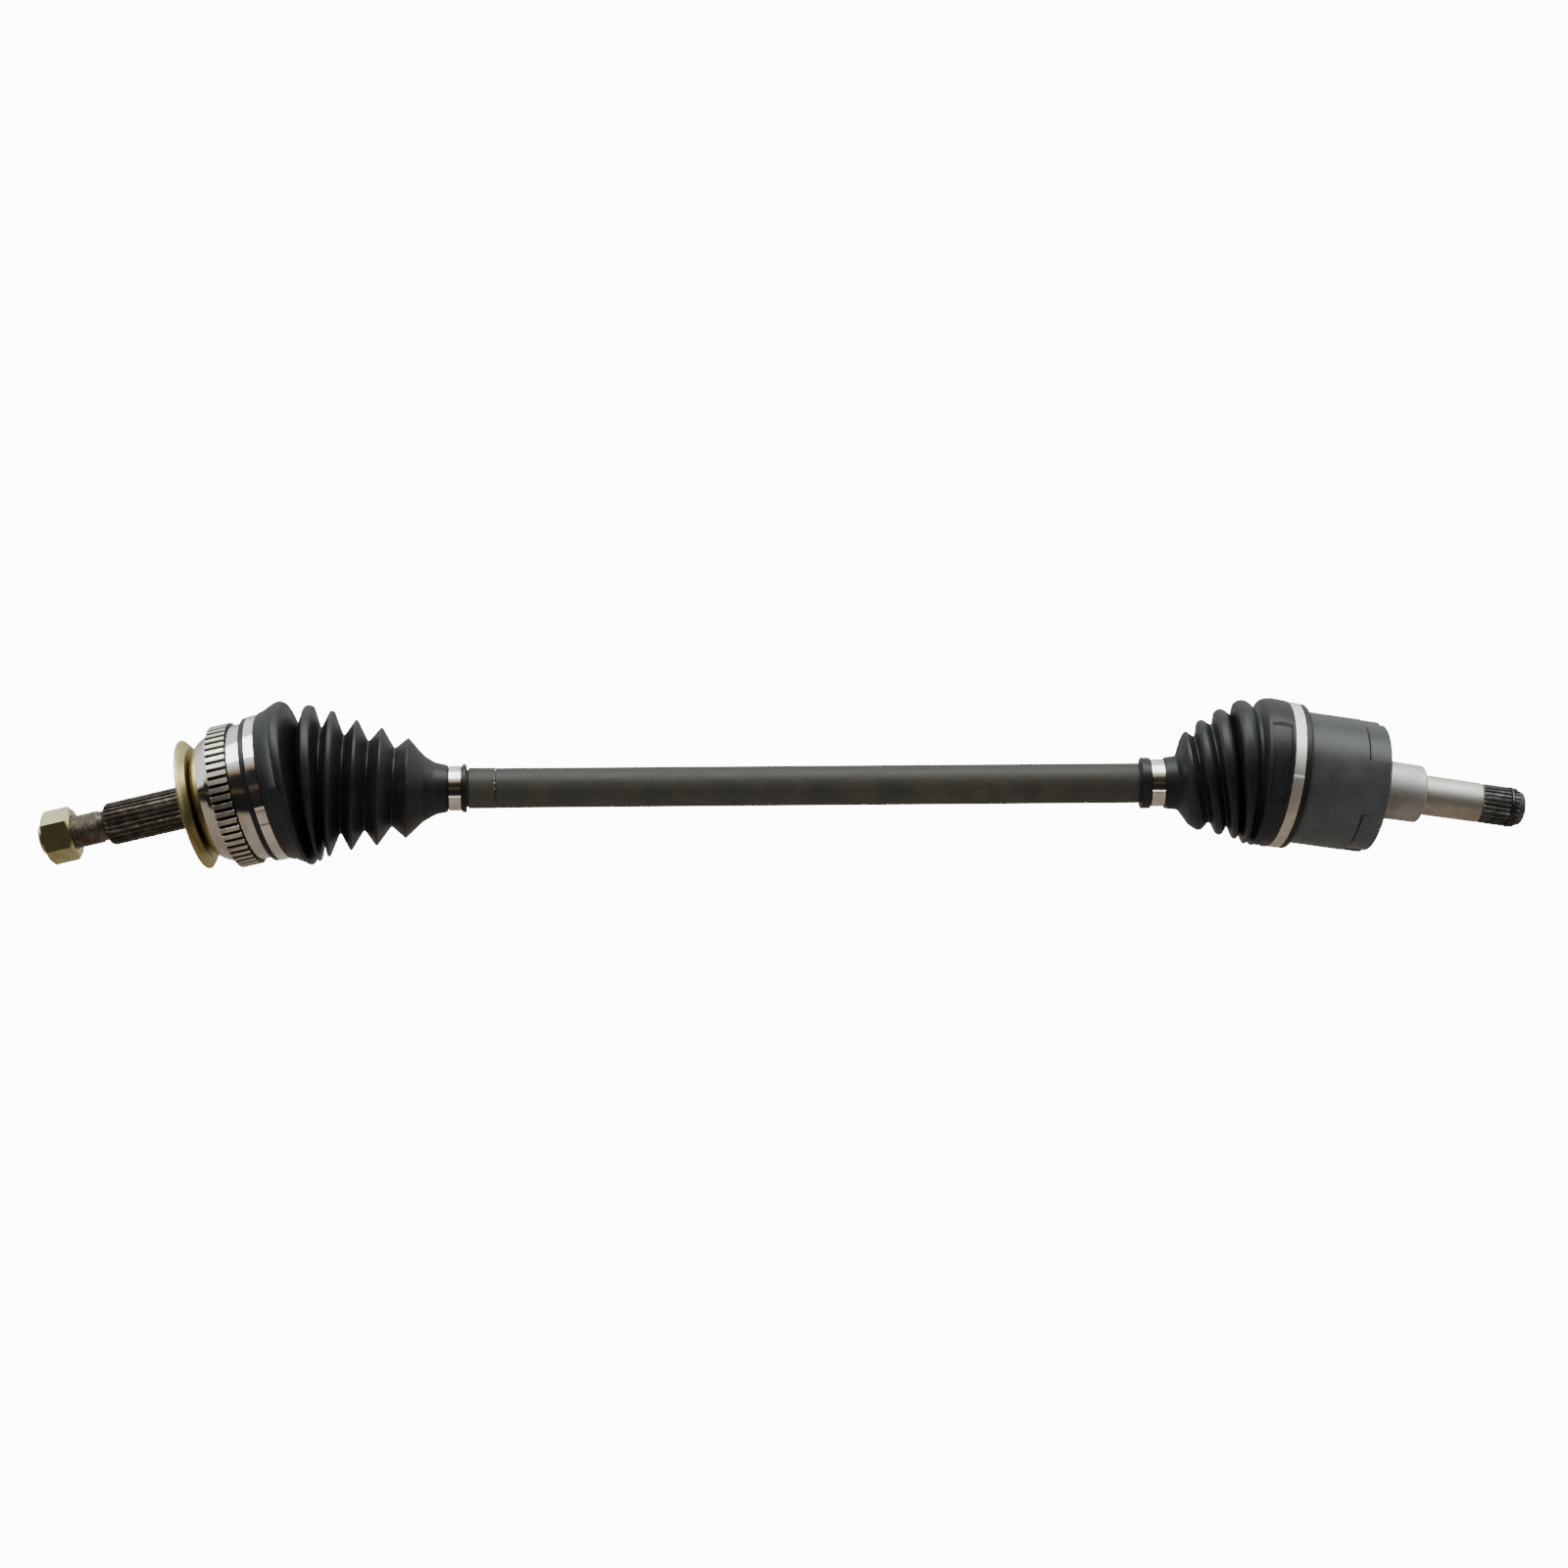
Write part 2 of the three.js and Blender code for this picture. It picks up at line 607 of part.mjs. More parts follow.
// Pieces on a trunnion are turned about X, then stood up along their own trunnion.
function onTrunnion(geometry, azimuth) {
  return geometry.rotateZ(Math.PI / 2).rotateX(radians(azimuth));
}

function spider() {
  const bore = BAR_SPLINE_R + FIT;
  let body = solid(turned([
    [-SPIDER_HALF, 0],
    [-SPIDER_HALF, SPIDER_HUB_R - 1],
    [-SPIDER_HALF + 1, SPIDER_HUB_R],
    [SPIDER_HALF - 1, SPIDER_HUB_R],
    [SPIDER_HALF, SPIDER_HUB_R - 1],
    [SPIDER_HALF, 0],
  ]));
  for (const azimuth of TRIPOD_AZIMUTHS) {
    const trunnion = turned([
      [8, 0],
      [8, TRUNNION_R],
      [29, TRUNNION_R],
      [29, TRUNNION_R - 0.8],
      [30.2, TRUNNION_R - 0.8],
      [30.2, TRUNNION_R],
      [TRUNNION_END - 0.5, TRUNNION_R],
      [TRUNNION_END, TRUNNION_R - 0.5],
      [TRUNNION_END, 0],
    ], 16);
    body = body.add(solid(onTrunnion(trunnion, azimuth)));
  }
  const through = turned([[-20, 0], [-20, bore], [20, bore], [20, 0]], BAR_SIDES);
  return geometryOf(body.subtract(solid(through)));
}

function roller() {
  const crown = arcPoints(ROLLER_R, -ROLLER_HALF, ROLLER_HALF, 4);
  const outline = [[-ROLLER_HALF, ROLLER_BORE_R], ...crown, [ROLLER_HALF, ROLLER_BORE_R]];
  return turnedRing(outline, BAR_SIDES).translate(TRIPOD_R, 0, 0);
}

// The needles fill the space between trunnion and roller side by side, so they are one fluted ring.
function needleSet() {
  const inner = TRUNNION_R + FIT;
  const outer = ROLLER_BORE_R - FIT;
  const pitch = 360 / NEEDLES;
  const rim = [];
  const hole = [];
  for (let i = 0; i < NEEDLES; i++) {
    rim.push(polar(outer, i * pitch), polar(outer - 0.5, (i + 0.5) * pitch));
    hole.push(polar(inner + 0.1, i * pitch), polar(inner + 0.5, (i + 0.5) * pitch));
  }
  const outline = new THREE.Shape(rim);
  outline.holes.push(new THREE.Path(hole));
  return extrudedX(outline, TRIPOD_R - ROLLER_HALF + 0.2, 2 * ROLLER_HALF - 0.4);
}

// ---------------------------------------------------------------- assembly: wheel end
piece('outboard_race', outboardRace(), machined, outboardStub);
piece('tone_ring', toneRing(), machined, outboardStub);
piece('dust_deflector', dustDeflector(), yellowZinc, outboardStub);
piece('hub_nut', hubNut(), yellowZinc, outboardStub);
const outboardBand = bandClamp(CLAMP_SEAT_OUT_R + FIT, CLAMP_R, -12.2, -5.2, 0, ROUND_SIDES);
piece('outboard_large_clamp', outboardBand, bandSteel, outboardStub);

piece('inner_race', innerRace(), bearingSteel, outboardPivot);
piece('cage', cage(), bearingSteel, outboardPivot);
for (let i = 0; i < BALL_COUNT; i++) {
  const ball = piece(`ball_${i + 1}`, new THREE.SphereGeometry(BALL_R, 12, 8), bearingSteel, outboardPivot);
  const azimuth = radians((i * 360) / BALL_COUNT);
  ball.position.set(0, BALL_PITCH_R * Math.cos(azimuth), BALL_PITCH_R * Math.sin(azimuth));
}
piece('inner_race_snap_ring', snapRing(11.9, 13.6, -14.2, -12.6, 24), springSteel, outboardPivot);
piece('outboard_boot', outboardBoot(), rubber, outboardPivot);
const outboardNeckBand = bandClamp(NECK_SEAT_OUT_R + FIT, 15.1, 127.6, 136, 150, BAR_SIDES);
piece('outboard_small_clamp', outboardNeckBand, bandSteel, outboardPivot);

// ---------------------------------------------------------------- assembly: bar and gearbox end
piece('drive_shaft', driveShaft(), barPaint, lie);

const inboardNeckBand = bandClamp(NECK_SEAT_IN_R + FIT, 16, -122.1, -113, 150, BAR_SIDES);
piece('inboard_small_clamp', inboardNeckBand, bandSteel, inboardPivot);
piece('inboard_boot', inboardBoot(), rubber, inboardPivot);
piece('spider', spider(), bearingSteel, inboardPivot);
TRIPOD_AZIMUTHS.forEach((azimuth, i) => {
  piece(`roller_${i + 1}`, onTrunnion(roller(), azimuth), bearingSteel, inboardPivot);
  piece(`needles_${i + 1}`, onTrunnion(needleSet(), azimuth), bearingSteel, inboardPivot);
  const keeper = snapRing(TRUNNION_R - 0.5, TRUNNION_R + 2.4, 29.1, 30.1, 40, 12);
  piece(`roller_retainer_${i + 1}`, onTrunnion(keeper, azimuth), springSteel, inboardPivot);
});
piece('spider_circlip_inner', snapRing(12.8, 15, -12.9, -11.3, 30), springSteel, inboardPivot);
piece('spider_circlip_outer', snapRing(11.9, 14.5, 11.3, 12.9, 30), springSteel, inboardPivot);

piece('tripod_housing', tripodHousing(), housingPaint, inboardStub);
const inboardBand = bandClamp(CLAMP_SEAT_IN_R + FIT, CLAMP_R, -37.6, -30.2, 110, ROUND_SIDES);
piece('inboard_large_clamp', inboardBand, satinBand, inboardStub);
piece('stub_circlip', snapRing(11.8, 13.9, CIRCLIP_AT - 0.9, CIRCLIP_AT + 0.9, 24), springSteel, inboardStub);

// ---------------------------------------------------------------- lay it down
// The bar is tipped until both ends rest on z = 0, and the box is centred on the origin.
const axle = new THREE.Group();
axle.add(lie);

function lowest(group, side) {
  group.updateMatrixWorld(true);
  let z = Infinity;
  let x = 0;
  const v = new THREE.Vector3();
  group.traverse((mesh) => {
    if (!mesh.isMesh) return;
    const p = mesh.geometry.attributes.position;
    for (let i = 0; i < p.count; i++) {
      v.fromBufferAttribute(p, i).applyMatrix4(mesh.matrixWorld);
      if (v.x * side > 0 && v.z < z) [z, x] = [v.z, v.x];
    }
  });
  return { z, x };
}

for (let pass = 0; pass < 4; pass++) {
  const left = lowest(axle, -1);
  const right = lowest(axle, 1);
  lie.rotation.y += Math.atan2(right.z - left.z, right.x - left.x);
}
axle.updateMatrixWorld(true);
const box = new THREE.Box3().setFromObject(axle, true);
axle.position.set(-(box.min.x + box.max.x) / 2, 0, -box.min.z);
axle.updateMatrixWorld(true);

export default axle;
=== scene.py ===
import json
import math

import bmesh
import bpy
from mathutils import Matrix, Vector


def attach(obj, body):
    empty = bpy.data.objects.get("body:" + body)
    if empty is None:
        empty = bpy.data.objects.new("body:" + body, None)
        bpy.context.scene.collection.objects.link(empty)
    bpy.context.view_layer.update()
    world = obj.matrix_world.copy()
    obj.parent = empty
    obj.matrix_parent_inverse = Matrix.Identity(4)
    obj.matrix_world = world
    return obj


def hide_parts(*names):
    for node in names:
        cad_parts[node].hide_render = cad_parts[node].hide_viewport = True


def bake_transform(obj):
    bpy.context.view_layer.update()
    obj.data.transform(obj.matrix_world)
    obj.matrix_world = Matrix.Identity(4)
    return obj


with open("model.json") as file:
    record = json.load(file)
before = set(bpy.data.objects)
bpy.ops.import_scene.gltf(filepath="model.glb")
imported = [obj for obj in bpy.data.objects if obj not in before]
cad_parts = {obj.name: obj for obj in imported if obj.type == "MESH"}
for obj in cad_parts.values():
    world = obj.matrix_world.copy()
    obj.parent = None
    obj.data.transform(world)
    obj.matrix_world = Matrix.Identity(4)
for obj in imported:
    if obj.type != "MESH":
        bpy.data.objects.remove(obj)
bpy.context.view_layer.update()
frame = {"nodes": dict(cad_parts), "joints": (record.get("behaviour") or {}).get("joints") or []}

# ---------------------------------------------------------------- the viewpoint
# A long lens on a stand looks down on the axle from a little towards the wheel end, far enough
# away that the whole length is in view with hardly any perspective.
joints = {joint["name"]: joint for joint in frame["joints"]}
wheel_pivot = Vector(joints["outboard_steer"]["pos_m"])
gearbox_pivot = Vector(joints["inboard_updown"]["pos_m"])
bar_line = (gearbox_pivot - wheel_pivot).normalized()

viewing_distance = 2.64
viewing_azimuth = math.radians(-2.4)
viewing_elevation = math.radians(31.5)
viewing_roll = math.radians(0.5)
look_at = (wheel_pivot + gearbox_pivot) / 2 + Vector((-0.0085, 0, 0.0015))
towards_camera = Vector((
    math.sin(viewing_azimuth) * math.cos(viewing_elevation),
    -math.cos(viewing_azimuth) * math.cos(viewing_elevation),
    math.sin(viewing_elevation),
))
camera_data = bpy.data.cameras.new("camera")
camera_data.lens = 90
camera_data.sensor_width = 36
camera = bpy.data.objects.new("camera", camera_data)
facing = (-towards_camera).to_track_quat("-Z", "Y").to_matrix().to_4x4()
camera.matrix_world = (
    Matrix.Translation(look_at + towards_camera * viewing_distance)
    @ facing
    @ Matrix.Rotation(viewing_roll, 4, "Z")
)
bpy.context.scene.collection.objects.link(camera)
bpy.context.scene.camera = camera

# ---------------------------------------------------------------- the studio
# A pale table under the axle and a wide softbox over and behind it. The room in front is dark and
# the table is warm underneath, which is what turned steel shows as a dark and a tan band.
floor_mesh = bpy.data.meshes.new("floor")
floor_half = 12
floor_corners = [(-1, -1), (1, -1), (1, 1), (-1, 1)]
floor_points = [(x * floor_half, y * floor_half, 0) for x, y in floor_corners]
floor_mesh.from_pydata(floor_points, [], [(0, 1, 2, 3)])
floor = bpy.data.objects.new("floor", floor_mesh)
bpy.context.scene.collection.objects.link(floor)
floor.visible_glossy = False
floor_paint = bpy.data.materials.new("floor_paint")
floor_paint.use_nodes = True
floor_shader = floor_paint.node_tree.nodes["Principled BSDF"]
floor_shader.inputs["Base Color"].default_value = (0.95, 0.95, 0.95, 1)
floor_shader.inputs["Roughness"].default_value = 0.9
floor_tree = floor_paint.node_tree
glow = floor_tree.nodes.new("ShaderNodeEmission")
glow.inputs["Strength"].default_value = 17.0
looked_at = floor_tree.nodes.new("ShaderNodeLightPath")
glow_share = floor_tree.nodes.new("ShaderNodeMath")
glow_share.operation = "MULTIPLY"
glow_share.inputs[1].default_value = 0.7
floor_tree.links.new(looked_at.outputs["Is Camera Ray"], glow_share.inputs[0])
lit = floor_tree.nodes.new("ShaderNodeMixShader")
floor_tree.links.new(glow_share.outputs[0], lit.inputs["Fac"])
floor_tree.links.new(floor_shader.outputs[0], lit.inputs[1])
floor_tree.links.new(glow.outputs[0], lit.inputs[2])
floor_tree.links.new(lit.outputs[0], floor_tree.nodes["Material Output"].inputs["Surface"])
floor_mesh.materials.append(floor_paint)

world = bpy.data.worlds.new("studio")
bpy.context.scene.world = world
world.use_nodes = True
air = world.node_tree
direction = air.nodes.new("ShaderNodeTexCoord")
split = air.nodes.new("ShaderNodeSeparateXYZ")
air.links.new(direction.outputs["Generated"], split.inputs[0])
# round the axle's length: 0 is straight down, 0.25 in front, 0.5 overhead, 0.75 behind
turn = air.nodes.new("ShaderNodeMath")
turn.operation = "ARCTAN2"
air.links.new(split.outputs["Y"], turn.inputs[0])
air.links.new(split.outputs["Z"], turn.inputs[1])
share = air.nodes.new("ShaderNodeMapRange")
share.inputs["From Min"].default_value = -math.pi
share.inputs["From Max"].default_value = math.pi
air.links.new(turn.outputs[0], share.inputs["Value"])
room = air.nodes.new("ShaderNodeValToRGB")
air.links.new(share.outputs["Result"], room.inputs["Fac"])
room_bands = [
    (0.00, (0.34, 0.285, 0.235)),
    (0.18, (0.42, 0.355, 0.29)),
    (0.222, (0.36, 0.30, 0.24)),
    (0.245, (0.015, 0.014, 0.015)),
    (0.325, (0.022, 0.018, 0.017)),
    (0.338, (0.16, 0.115, 0.075)),
    (0.350, (0.022, 0.018, 0.017)),
    (0.415, (0.02, 0.020, 0.022)),
    (0.435, (0.42, 0.30, 0.20)),
    (0.452, (0.70, 0.62, 0.52)),
    (0.475, (1.2, 1.3, 1.32)),
    (0.70, (1.3, 1.36, 1.38)),
    (0.78, (0.6, 0.56, 0.52)),
    (1.00, (0.34, 0.285, 0.235)),
]
stops = room.color_ramp.elements
while len(stops) < len(room_bands):
    stops.new(0.5)
for stop, (place, colour) in zip(stops, room_bands):
    stop.position = place
    stop.color = (*colour, 1)
air.links.new(room.outputs["Color"], air.nodes["Background"].inputs["Color"])
horizon = air.nodes.new("ShaderNodeBackground")
horizon.inputs["Color"].default_value = (1, 1, 1, 1)
horizon.inputs["Strength"].default_value = 12.0
seen = air.nodes.new("ShaderNodeLightPath")
either = air.nodes.new("ShaderNodeMixShader")
air.links.new(seen.outputs["Is Camera Ray"], either.inputs["Fac"])
air.links.new(air.nodes["Background"].outputs[0], either.inputs[1])
air.links.new(horizon.outputs[0], either.inputs[2])
air.links.new(either.outputs[0], air.nodes["World Output"].inputs["Surface"])


def softbox(name, place, size, power, colour, in_reflections):
    """A rectangular lamp that faces the middle of the axle."""
    light = bpy.data.lights.new(name, "AREA")
    light.shape = "RECTANGLE"
    light.size, light.size_y = size
    light.energy = power
    light.color = colour
    lamp = bpy.data.objects.new(name, light)
    lamp.location = place
    lamp.rotation_euler = (-Vector(place)).to_track_quat("-Z", "Y").to_euler()
    lamp.visible_glossy = in_reflections
    bpy.context.scene.collection.objects.link(lamp)


softbox("softbox_over", (0.0, 0.6, 2.2), (4.0, 1.6), 110, (0.97, 1.0, 1.0), True)
softbox("softbox_front", (-0.6, -2.4, 2.0), (3.0, 2.0), 70, (1.0, 0.99, 0.97), False)

# ---------------------------------------------------------------- wheel stub and bell
# The outer race of the wheel-end joint and its stub are one steel forging. The bell is turned
# bright outside and has six ball tracks inside; the stub is rolled with a spline and a thread.
MM = 0.001


def line_frame(origin, along):
    """A frame whose X runs along a line in the XZ plane, with Y level and Z as near up as it goes."""
    x = Vector(along).normalized()
    y = Vector((0, 0, 1)).cross(x).normalized()
    axes = Matrix((x, y, x.cross(y))).transposed().to_4x4()
    return Matrix.Translation(origin) @ axes


wheel_frame = line_frame(wheel_pivot, joints["hub_nut_turn"]["axis"])


def rounded(outline, radius, steps=4):
    """Rounds the inner corners of an open outline of (along, out) points. A point may name its own
    corner radius, and a point whose radius is a function of the angle is left as it is."""
    made = [outline[0][:2]]
    for before, point, after in zip(outline, outline[1:], outline[2:]):
        own = point[2] if len(point) > 2 else radius
        if not own or any(callable(p[1]) for p in (before, point, after)):
            made.append(point[:2])
            continue
        here = Vector(point[:2])
        back = Vector(before[:2]) - here
        onward = Vector(after[:2]) - here
        if back.length < 1e-6 or onward.length < 1e-6:
            made.append(point[:2])
            continue
        half = max(back.angle(onward) / 2, 0.05)
        cut = min(own / math.tan(half), back.length * 0.49, onward.length * 0.49) if half < 1.55 else 0
        start = here + back.normalized() * cut
        end = here + onward.normalized() * cut
        for k in range(steps + 1):
            t = k / steps
            made.append(tuple((1 - t) ** 2 * start + 2 * t * (1 - t) * here + t * t * end))
    return made + [outline[-1][:2]]


def turned_rings(outline, around):
    """Rings about X from (x, r) points, where r is a number or a function of the angle."""
    rings = []
    for x, r in outline:
        ring = []
        for k in range(around):
            angle = 2 * math.pi * k / around
            out = r(angle) if callable(r) else r
            ring.append((x, out * math.cos(angle), out * math.sin(angle)))
        rings.append(ring)
    return rings


def skinned(name, rings, place, finishes, finish_at=None, loop=False, crease=32):
    """A closed mesh over rings of points: the last ring joins the first, or both ends are capped.
    finish_at(x) is the index of the finish at a place along the rings, and an edge sharper than
    crease degrees stays sharp. The mesh keeps its points' places in the frame it was turned in, for
    the finishes to follow."""
    around = len(rings[0])
    faces = []
    indices = []
    for i in range(len(rings) if loop else len(rings) - 1):
        a = i * around
        b = ((i + 1) % len(rings)) * around
        middle = (rings[i][0][0] + rings[(i + 1) % len(rings)][0][0]) / 2
        for k in range(around):
            n = (k + 1) % around
            faces.append((a + k, a + n, b + n, b + k))
            indices.append(finish_at(middle) if finish_at else 0)
    if not loop:
        faces.append(tuple(range(around))[::-1])
        faces.append(tuple(range((len(rings) - 1) * around, len(rings) * around)))
        indices += [indices[0], indices[-1]]
    points = [Vector(p) * MM for ring in rings for p in ring]
    mesh = bpy.data.meshes.new(name)
    mesh.from_pydata([place @ p for p in points], [], faces)
    own = mesh.attributes.new("turned_place", "FLOAT_VECTOR", "POINT")
    own.data.foreach_set("vector", [value for p in points for value in p])
    for finish in finishes:
        mesh.materials.append(finish)
    mesh.polygons.foreach_set("material_index", indices)
    cleaned = bmesh.new()
    cleaned.from_mesh(mesh)
    bmesh.ops.recalc_face_normals(cleaned, faces=cleaned.faces)
    cleaned.to_mesh(mesh)
    cleaned.free()
    mesh.shade_smooth()
    mesh.set_sharp_from_angle(angle=math.radians(crease))
    piece = bpy.data.objects.new(name, mesh)
    bpy.context.scene.collection.objects.link(piece)
    return piece


def effect(name, inputs, outputs):
    """An empty node group with a place and numbers going in and numbers coming out."""
    group = bpy.data.node_groups.new(name, "ShaderNodeTree")
    group.interface.new_socket(name="Place", in_out="INPUT", socket_type="NodeSocketVector")
    for label, value in inputs.items():
        socket = group.interface.new_socket(name=label, in_out="INPUT", socket_type="NodeSocketFloat")
        socket.default_value = value
    for label in outputs:
        group.interface.new_socket(name=label, in_out="OUTPUT", socket_type="NodeSocketFloat")
    start = group.nodes.new("NodeGroupInput")
    end = group.nodes.new("NodeGroupOutput")
    return group, start, end, start.outputs["Place"]


def calculate(group, operation, *values):
    node = group.nodes.new("ShaderNodeMath")
    node.operation = operation
    for i, value in enumerate(values):
        if isinstance(value, (int, float)):
            node.inputs[i].default_value = value
        else:
            group.links.new(value, node.inputs[i])
    return node.outputs[0]


# Lathe marks: fine lines round X, of uneven depth.
lathe_marks, start, end, place = effect("lathe_marks", {"Lines per metre": 2500.0}, ["Height"])
along = lathe_marks.nodes.new("ShaderNodeSeparateXYZ")
lathe_marks.links.new(place, along.inputs[0])
lines = lathe_marks.nodes.new("ShaderNodeTexNoise")
lines.noise_dimensions = "1D"
lines.inputs["Scale"].default_value = 1
lines.inputs["Detail"].default_value = 3
scaled = calculate(lathe_marks, "MULTIPLY", along.outputs["X"], start.outputs["Lines per metre"])
lathe_marks.links.new(scaled, lines.inputs["W"])
lathe_marks.links.new(lines.outputs["Fac"], end.inputs["Height"])

# Grime: soft uneven patches, as an oily film or a stain lies on metal.
grime, start, end, place = effect("grime", {"Scale": 60.0, "Low": 0.4, "High": 0.65}, ["Mask"])
cloud = grime.nodes.new("ShaderNodeTexNoise")
cloud.inputs["Detail"].default_value = 6
cloud.inputs["Roughness"].default_value = 0.6
grime.links.new(place, cloud.inputs["Vector"])
grime.links.new(start.outputs["Scale"], cloud.inputs["Scale"])
edge = grime.nodes.new("ShaderNodeMapRange")
edge.interpolation_type = "SMOOTHSTEP"
grime.links.new(cloud.outputs["Fac"], edge.inputs["Value"])
grime.links.new(start.outputs["Low"], edge.inputs["From Min"])
grime.links.new(start.outputs["High"], edge.inputs["From Max"])
grime.links.new(edge.outputs["Result"], end.inputs["Mask"])


def place_in(material, turned=True):
    """The place that a finish follows: where a turned piece was turned, or a carried part's own."""
    if not turned:
        return material.node_tree.nodes.new("ShaderNodeTexCoord").outputs["Object"]
    own = material.node_tree.nodes.new("ShaderNodeAttribute")
    own.attribute_name = "turned_place"
    return own.outputs["Vector"]


def placed(material, group, place, **values):
    node = material.node_tree.nodes.new("ShaderNodeGroup")
    node.node_tree = group
    material.node_tree.links.new(place, node.inputs["Place"])
    for label, value in values.items():
        node.inputs[label.replace("_", " ")].default_value = value
    return node


def metal_finish(
    name, clean, stained, roughness, marks, patches=(60.0, 0.4, 0.65), metallic=1.0, turned=True
):
    """Metal that goes from its clean colour to its stained one in soft patches, with fine marks
    round it. roughness is (clean, stained), and marks is (lines per metre, depth in metres)."""
    material = bpy.data.materials.new(name)
    material.use_nodes = True
    tree = material.node_tree
    shader = tree.nodes["Principled BSDF"]
    shader.inputs["Metallic"].default_value = metallic
    place = place_in(material, turned)
    film = placed(material, grime, place, Scale=patches[0], Low=patches[1], High=patches[2])
    tint = tree.nodes.new("ShaderNodeMix")
    tint.data_type = "RGBA"
    tint.inputs["A"].default_value = (*clean, 1)
    tint.inputs["B"].default_value = (*stained, 1)
    tree.links.new(film.outputs["Mask"], tint.inputs["Factor"])
    tree.links.new(tint.outputs["Result"], shader.inputs["Base Color"])
    polish = tree.nodes.new("ShaderNodeMapRange")
    polish.inputs["To Min"].default_value = roughness[0]
    polish.inputs["To Max"].default_value = roughness[1]
    tree.links.new(film.outputs["Mask"], polish.inputs["Value"])
    tree.links.new(polish.outputs["Result"], shader.inputs["Roughness"])
    lines = placed(material, lathe_marks, place, Lines_per_metre=marks[0])
    relief = tree.nodes.new("ShaderNodeBump")
    relief.inputs["Distance"].default_value = marks[1]
    tree.links.new(lines.outputs["Height"], relief.inputs["Height"])
    tree.links.new(relief.outputs["Normal"], shader.inputs["Normal"])
    return material


turned_steel = metal_finish(
    "turned_steel", (0.72, 0.70, 0.66), (0.58, 0.55, 0.49), (0.09, 0.17), (2600, 1.5e-6)
)
oily_steel = metal_finish(
    "oily_steel", (0.115, 0.100, 0.082), (0.045, 0.038, 0.030), (0.30, 0.42), (900, 5e-6),
    patches=(140.0, 0.35, 0.6), metallic=0.85,
)
thread_steel = metal_finish(
    "thread_steel", (0.23, 0.20, 0.16), (0.115, 0.095, 0.072), (0.34, 0.46), (900, 4e-6),
    patches=(160.0, 0.35, 0.6), metallic=0.9,
)

ball_pitch = 30
ball_count = 6
track_radius = 9.6
track_widening = 1.42
cavity_radius = 35
cavity_bottom = 27.5


def bell_cavity(x):
    """The cavity's radius by angle: a sphere, and six tracks that follow it further out."""
    bare = math.sqrt(cavity_radius**2 - x**2)

    def radius(angle):
        sector = 2 * math.pi / ball_count
        off = (angle + sector / 2) % sector - sector / 2
        low, high = bare, bare
        for k in range(1, 41):
            out = bare + 0.25 * k
            reach = math.hypot(x, out * math.cos(off)) - ball_pitch
            if reach**2 + (out * math.sin(off) / track_widening) ** 2 < track_radius**2:
                high = out
        return max(low, high)

    return radius


def toothed(root, tip, teeth, flank=4, land=0.5):
    """A spline's radius by angle. A bigger flank gives steeper sides."""
    def radius(angle):
        place = (angle * teeth / (2 * math.pi)) % 1
        rise = (0.5 - abs(place - 0.5)) * flank - land
        return root + (tip - root) * min(max(rise, 0), 1)

    return radius


def rolled_thread(x, root, crest, pitch):
    """A thread's radius by angle at one place along it."""
    def radius(angle):
        phase = 2 * math.pi * x / pitch - angle
        return root + (crest - root) * (1 + math.cos(phase)) / 2

    return radius


spline_teeth = 27
spline_around = spline_teeth * 8
thread_pitch = 1.5
thread_root = 10.35
thread_crest = 11.1
thread_steps = 8


def thread_outline(from_x, to_x):
    """A stretch of the hub thread, with several places to each turn."""
    steps = round((to_x - from_x) / thread_pitch * thread_steps)
    places = [from_x + (to_x - from_x) * k / steps for k in range(steps + 1)]
    return [(x, rolled_thread(x, thread_root, thread_crest, thread_pitch)) for x in places]


hub_spline = toothed(13.2, 14.4, spline_teeth)
race_outline = [(cavity_bottom, 10)]
race_outline += [(x, bell_cavity(x)) for x in (cavity_bottom, 25, 22, 18, 13, 8, 3, -2, -7, -10, -12.6)]
race_outline += rounded([
    (-13, 40.5), (-13, 45.3, 1.0), (-1, 45.3, 0.3), (-1, 46, 0.4), (8, 46, 0.4), (8, 44.5, 0.2),
    (22, 44.5, 0.3), (25.5, 43.2, 5), (31, 40.4, 6), (36, 36.2, 4), (39.2, 30, 1), (39.5, 14.0),
], 0)
race_outline += [(39.6, 13.2), (41.2, hub_spline), (102.8, hub_spline)]
race_outline += [(104.2, toothed(13.15, 13.6, spline_teeth)), (104.9, 12.9)]
race_outline += rounded([(105, 12.6), (106.6, 10.2, 0.8), (109.4, 10.2, 0.8), (110.3, 10.6)], 0)
race_outline += thread_outline(110.6, 129.2)
race_outline += [(129.6, 10.9), (146.4, 10.9)]
race_outline += thread_outline(146.7, 150.2)
race_outline += rounded([
    (150.4, 10.6), (151.3, 9.9, 0.6), (152, 8.6, 0.5), (152, 3.6, 0.2), (149.2, 1.2), (146, 1.2),
], 0)


bell_end = 39.4
spline_end = 110
tip_from = 147.9


def race_finish_at(x):
    """The bell and the tip past the nut are turned bright, and the spline and thread are darker."""
    if x > tip_from:
        return 0
    if x > spline_end:
        return 2
    return 1 if x > bell_end else 0


race = skinned(
    "wheel_stub_and_bell",
    turned_rings(race_outline, spline_around),
    wheel_frame,
    [turned_steel, oily_steel, thread_steel],
    race_finish_at,
)
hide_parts("outboard_race")
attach(race, "wheel_stub")

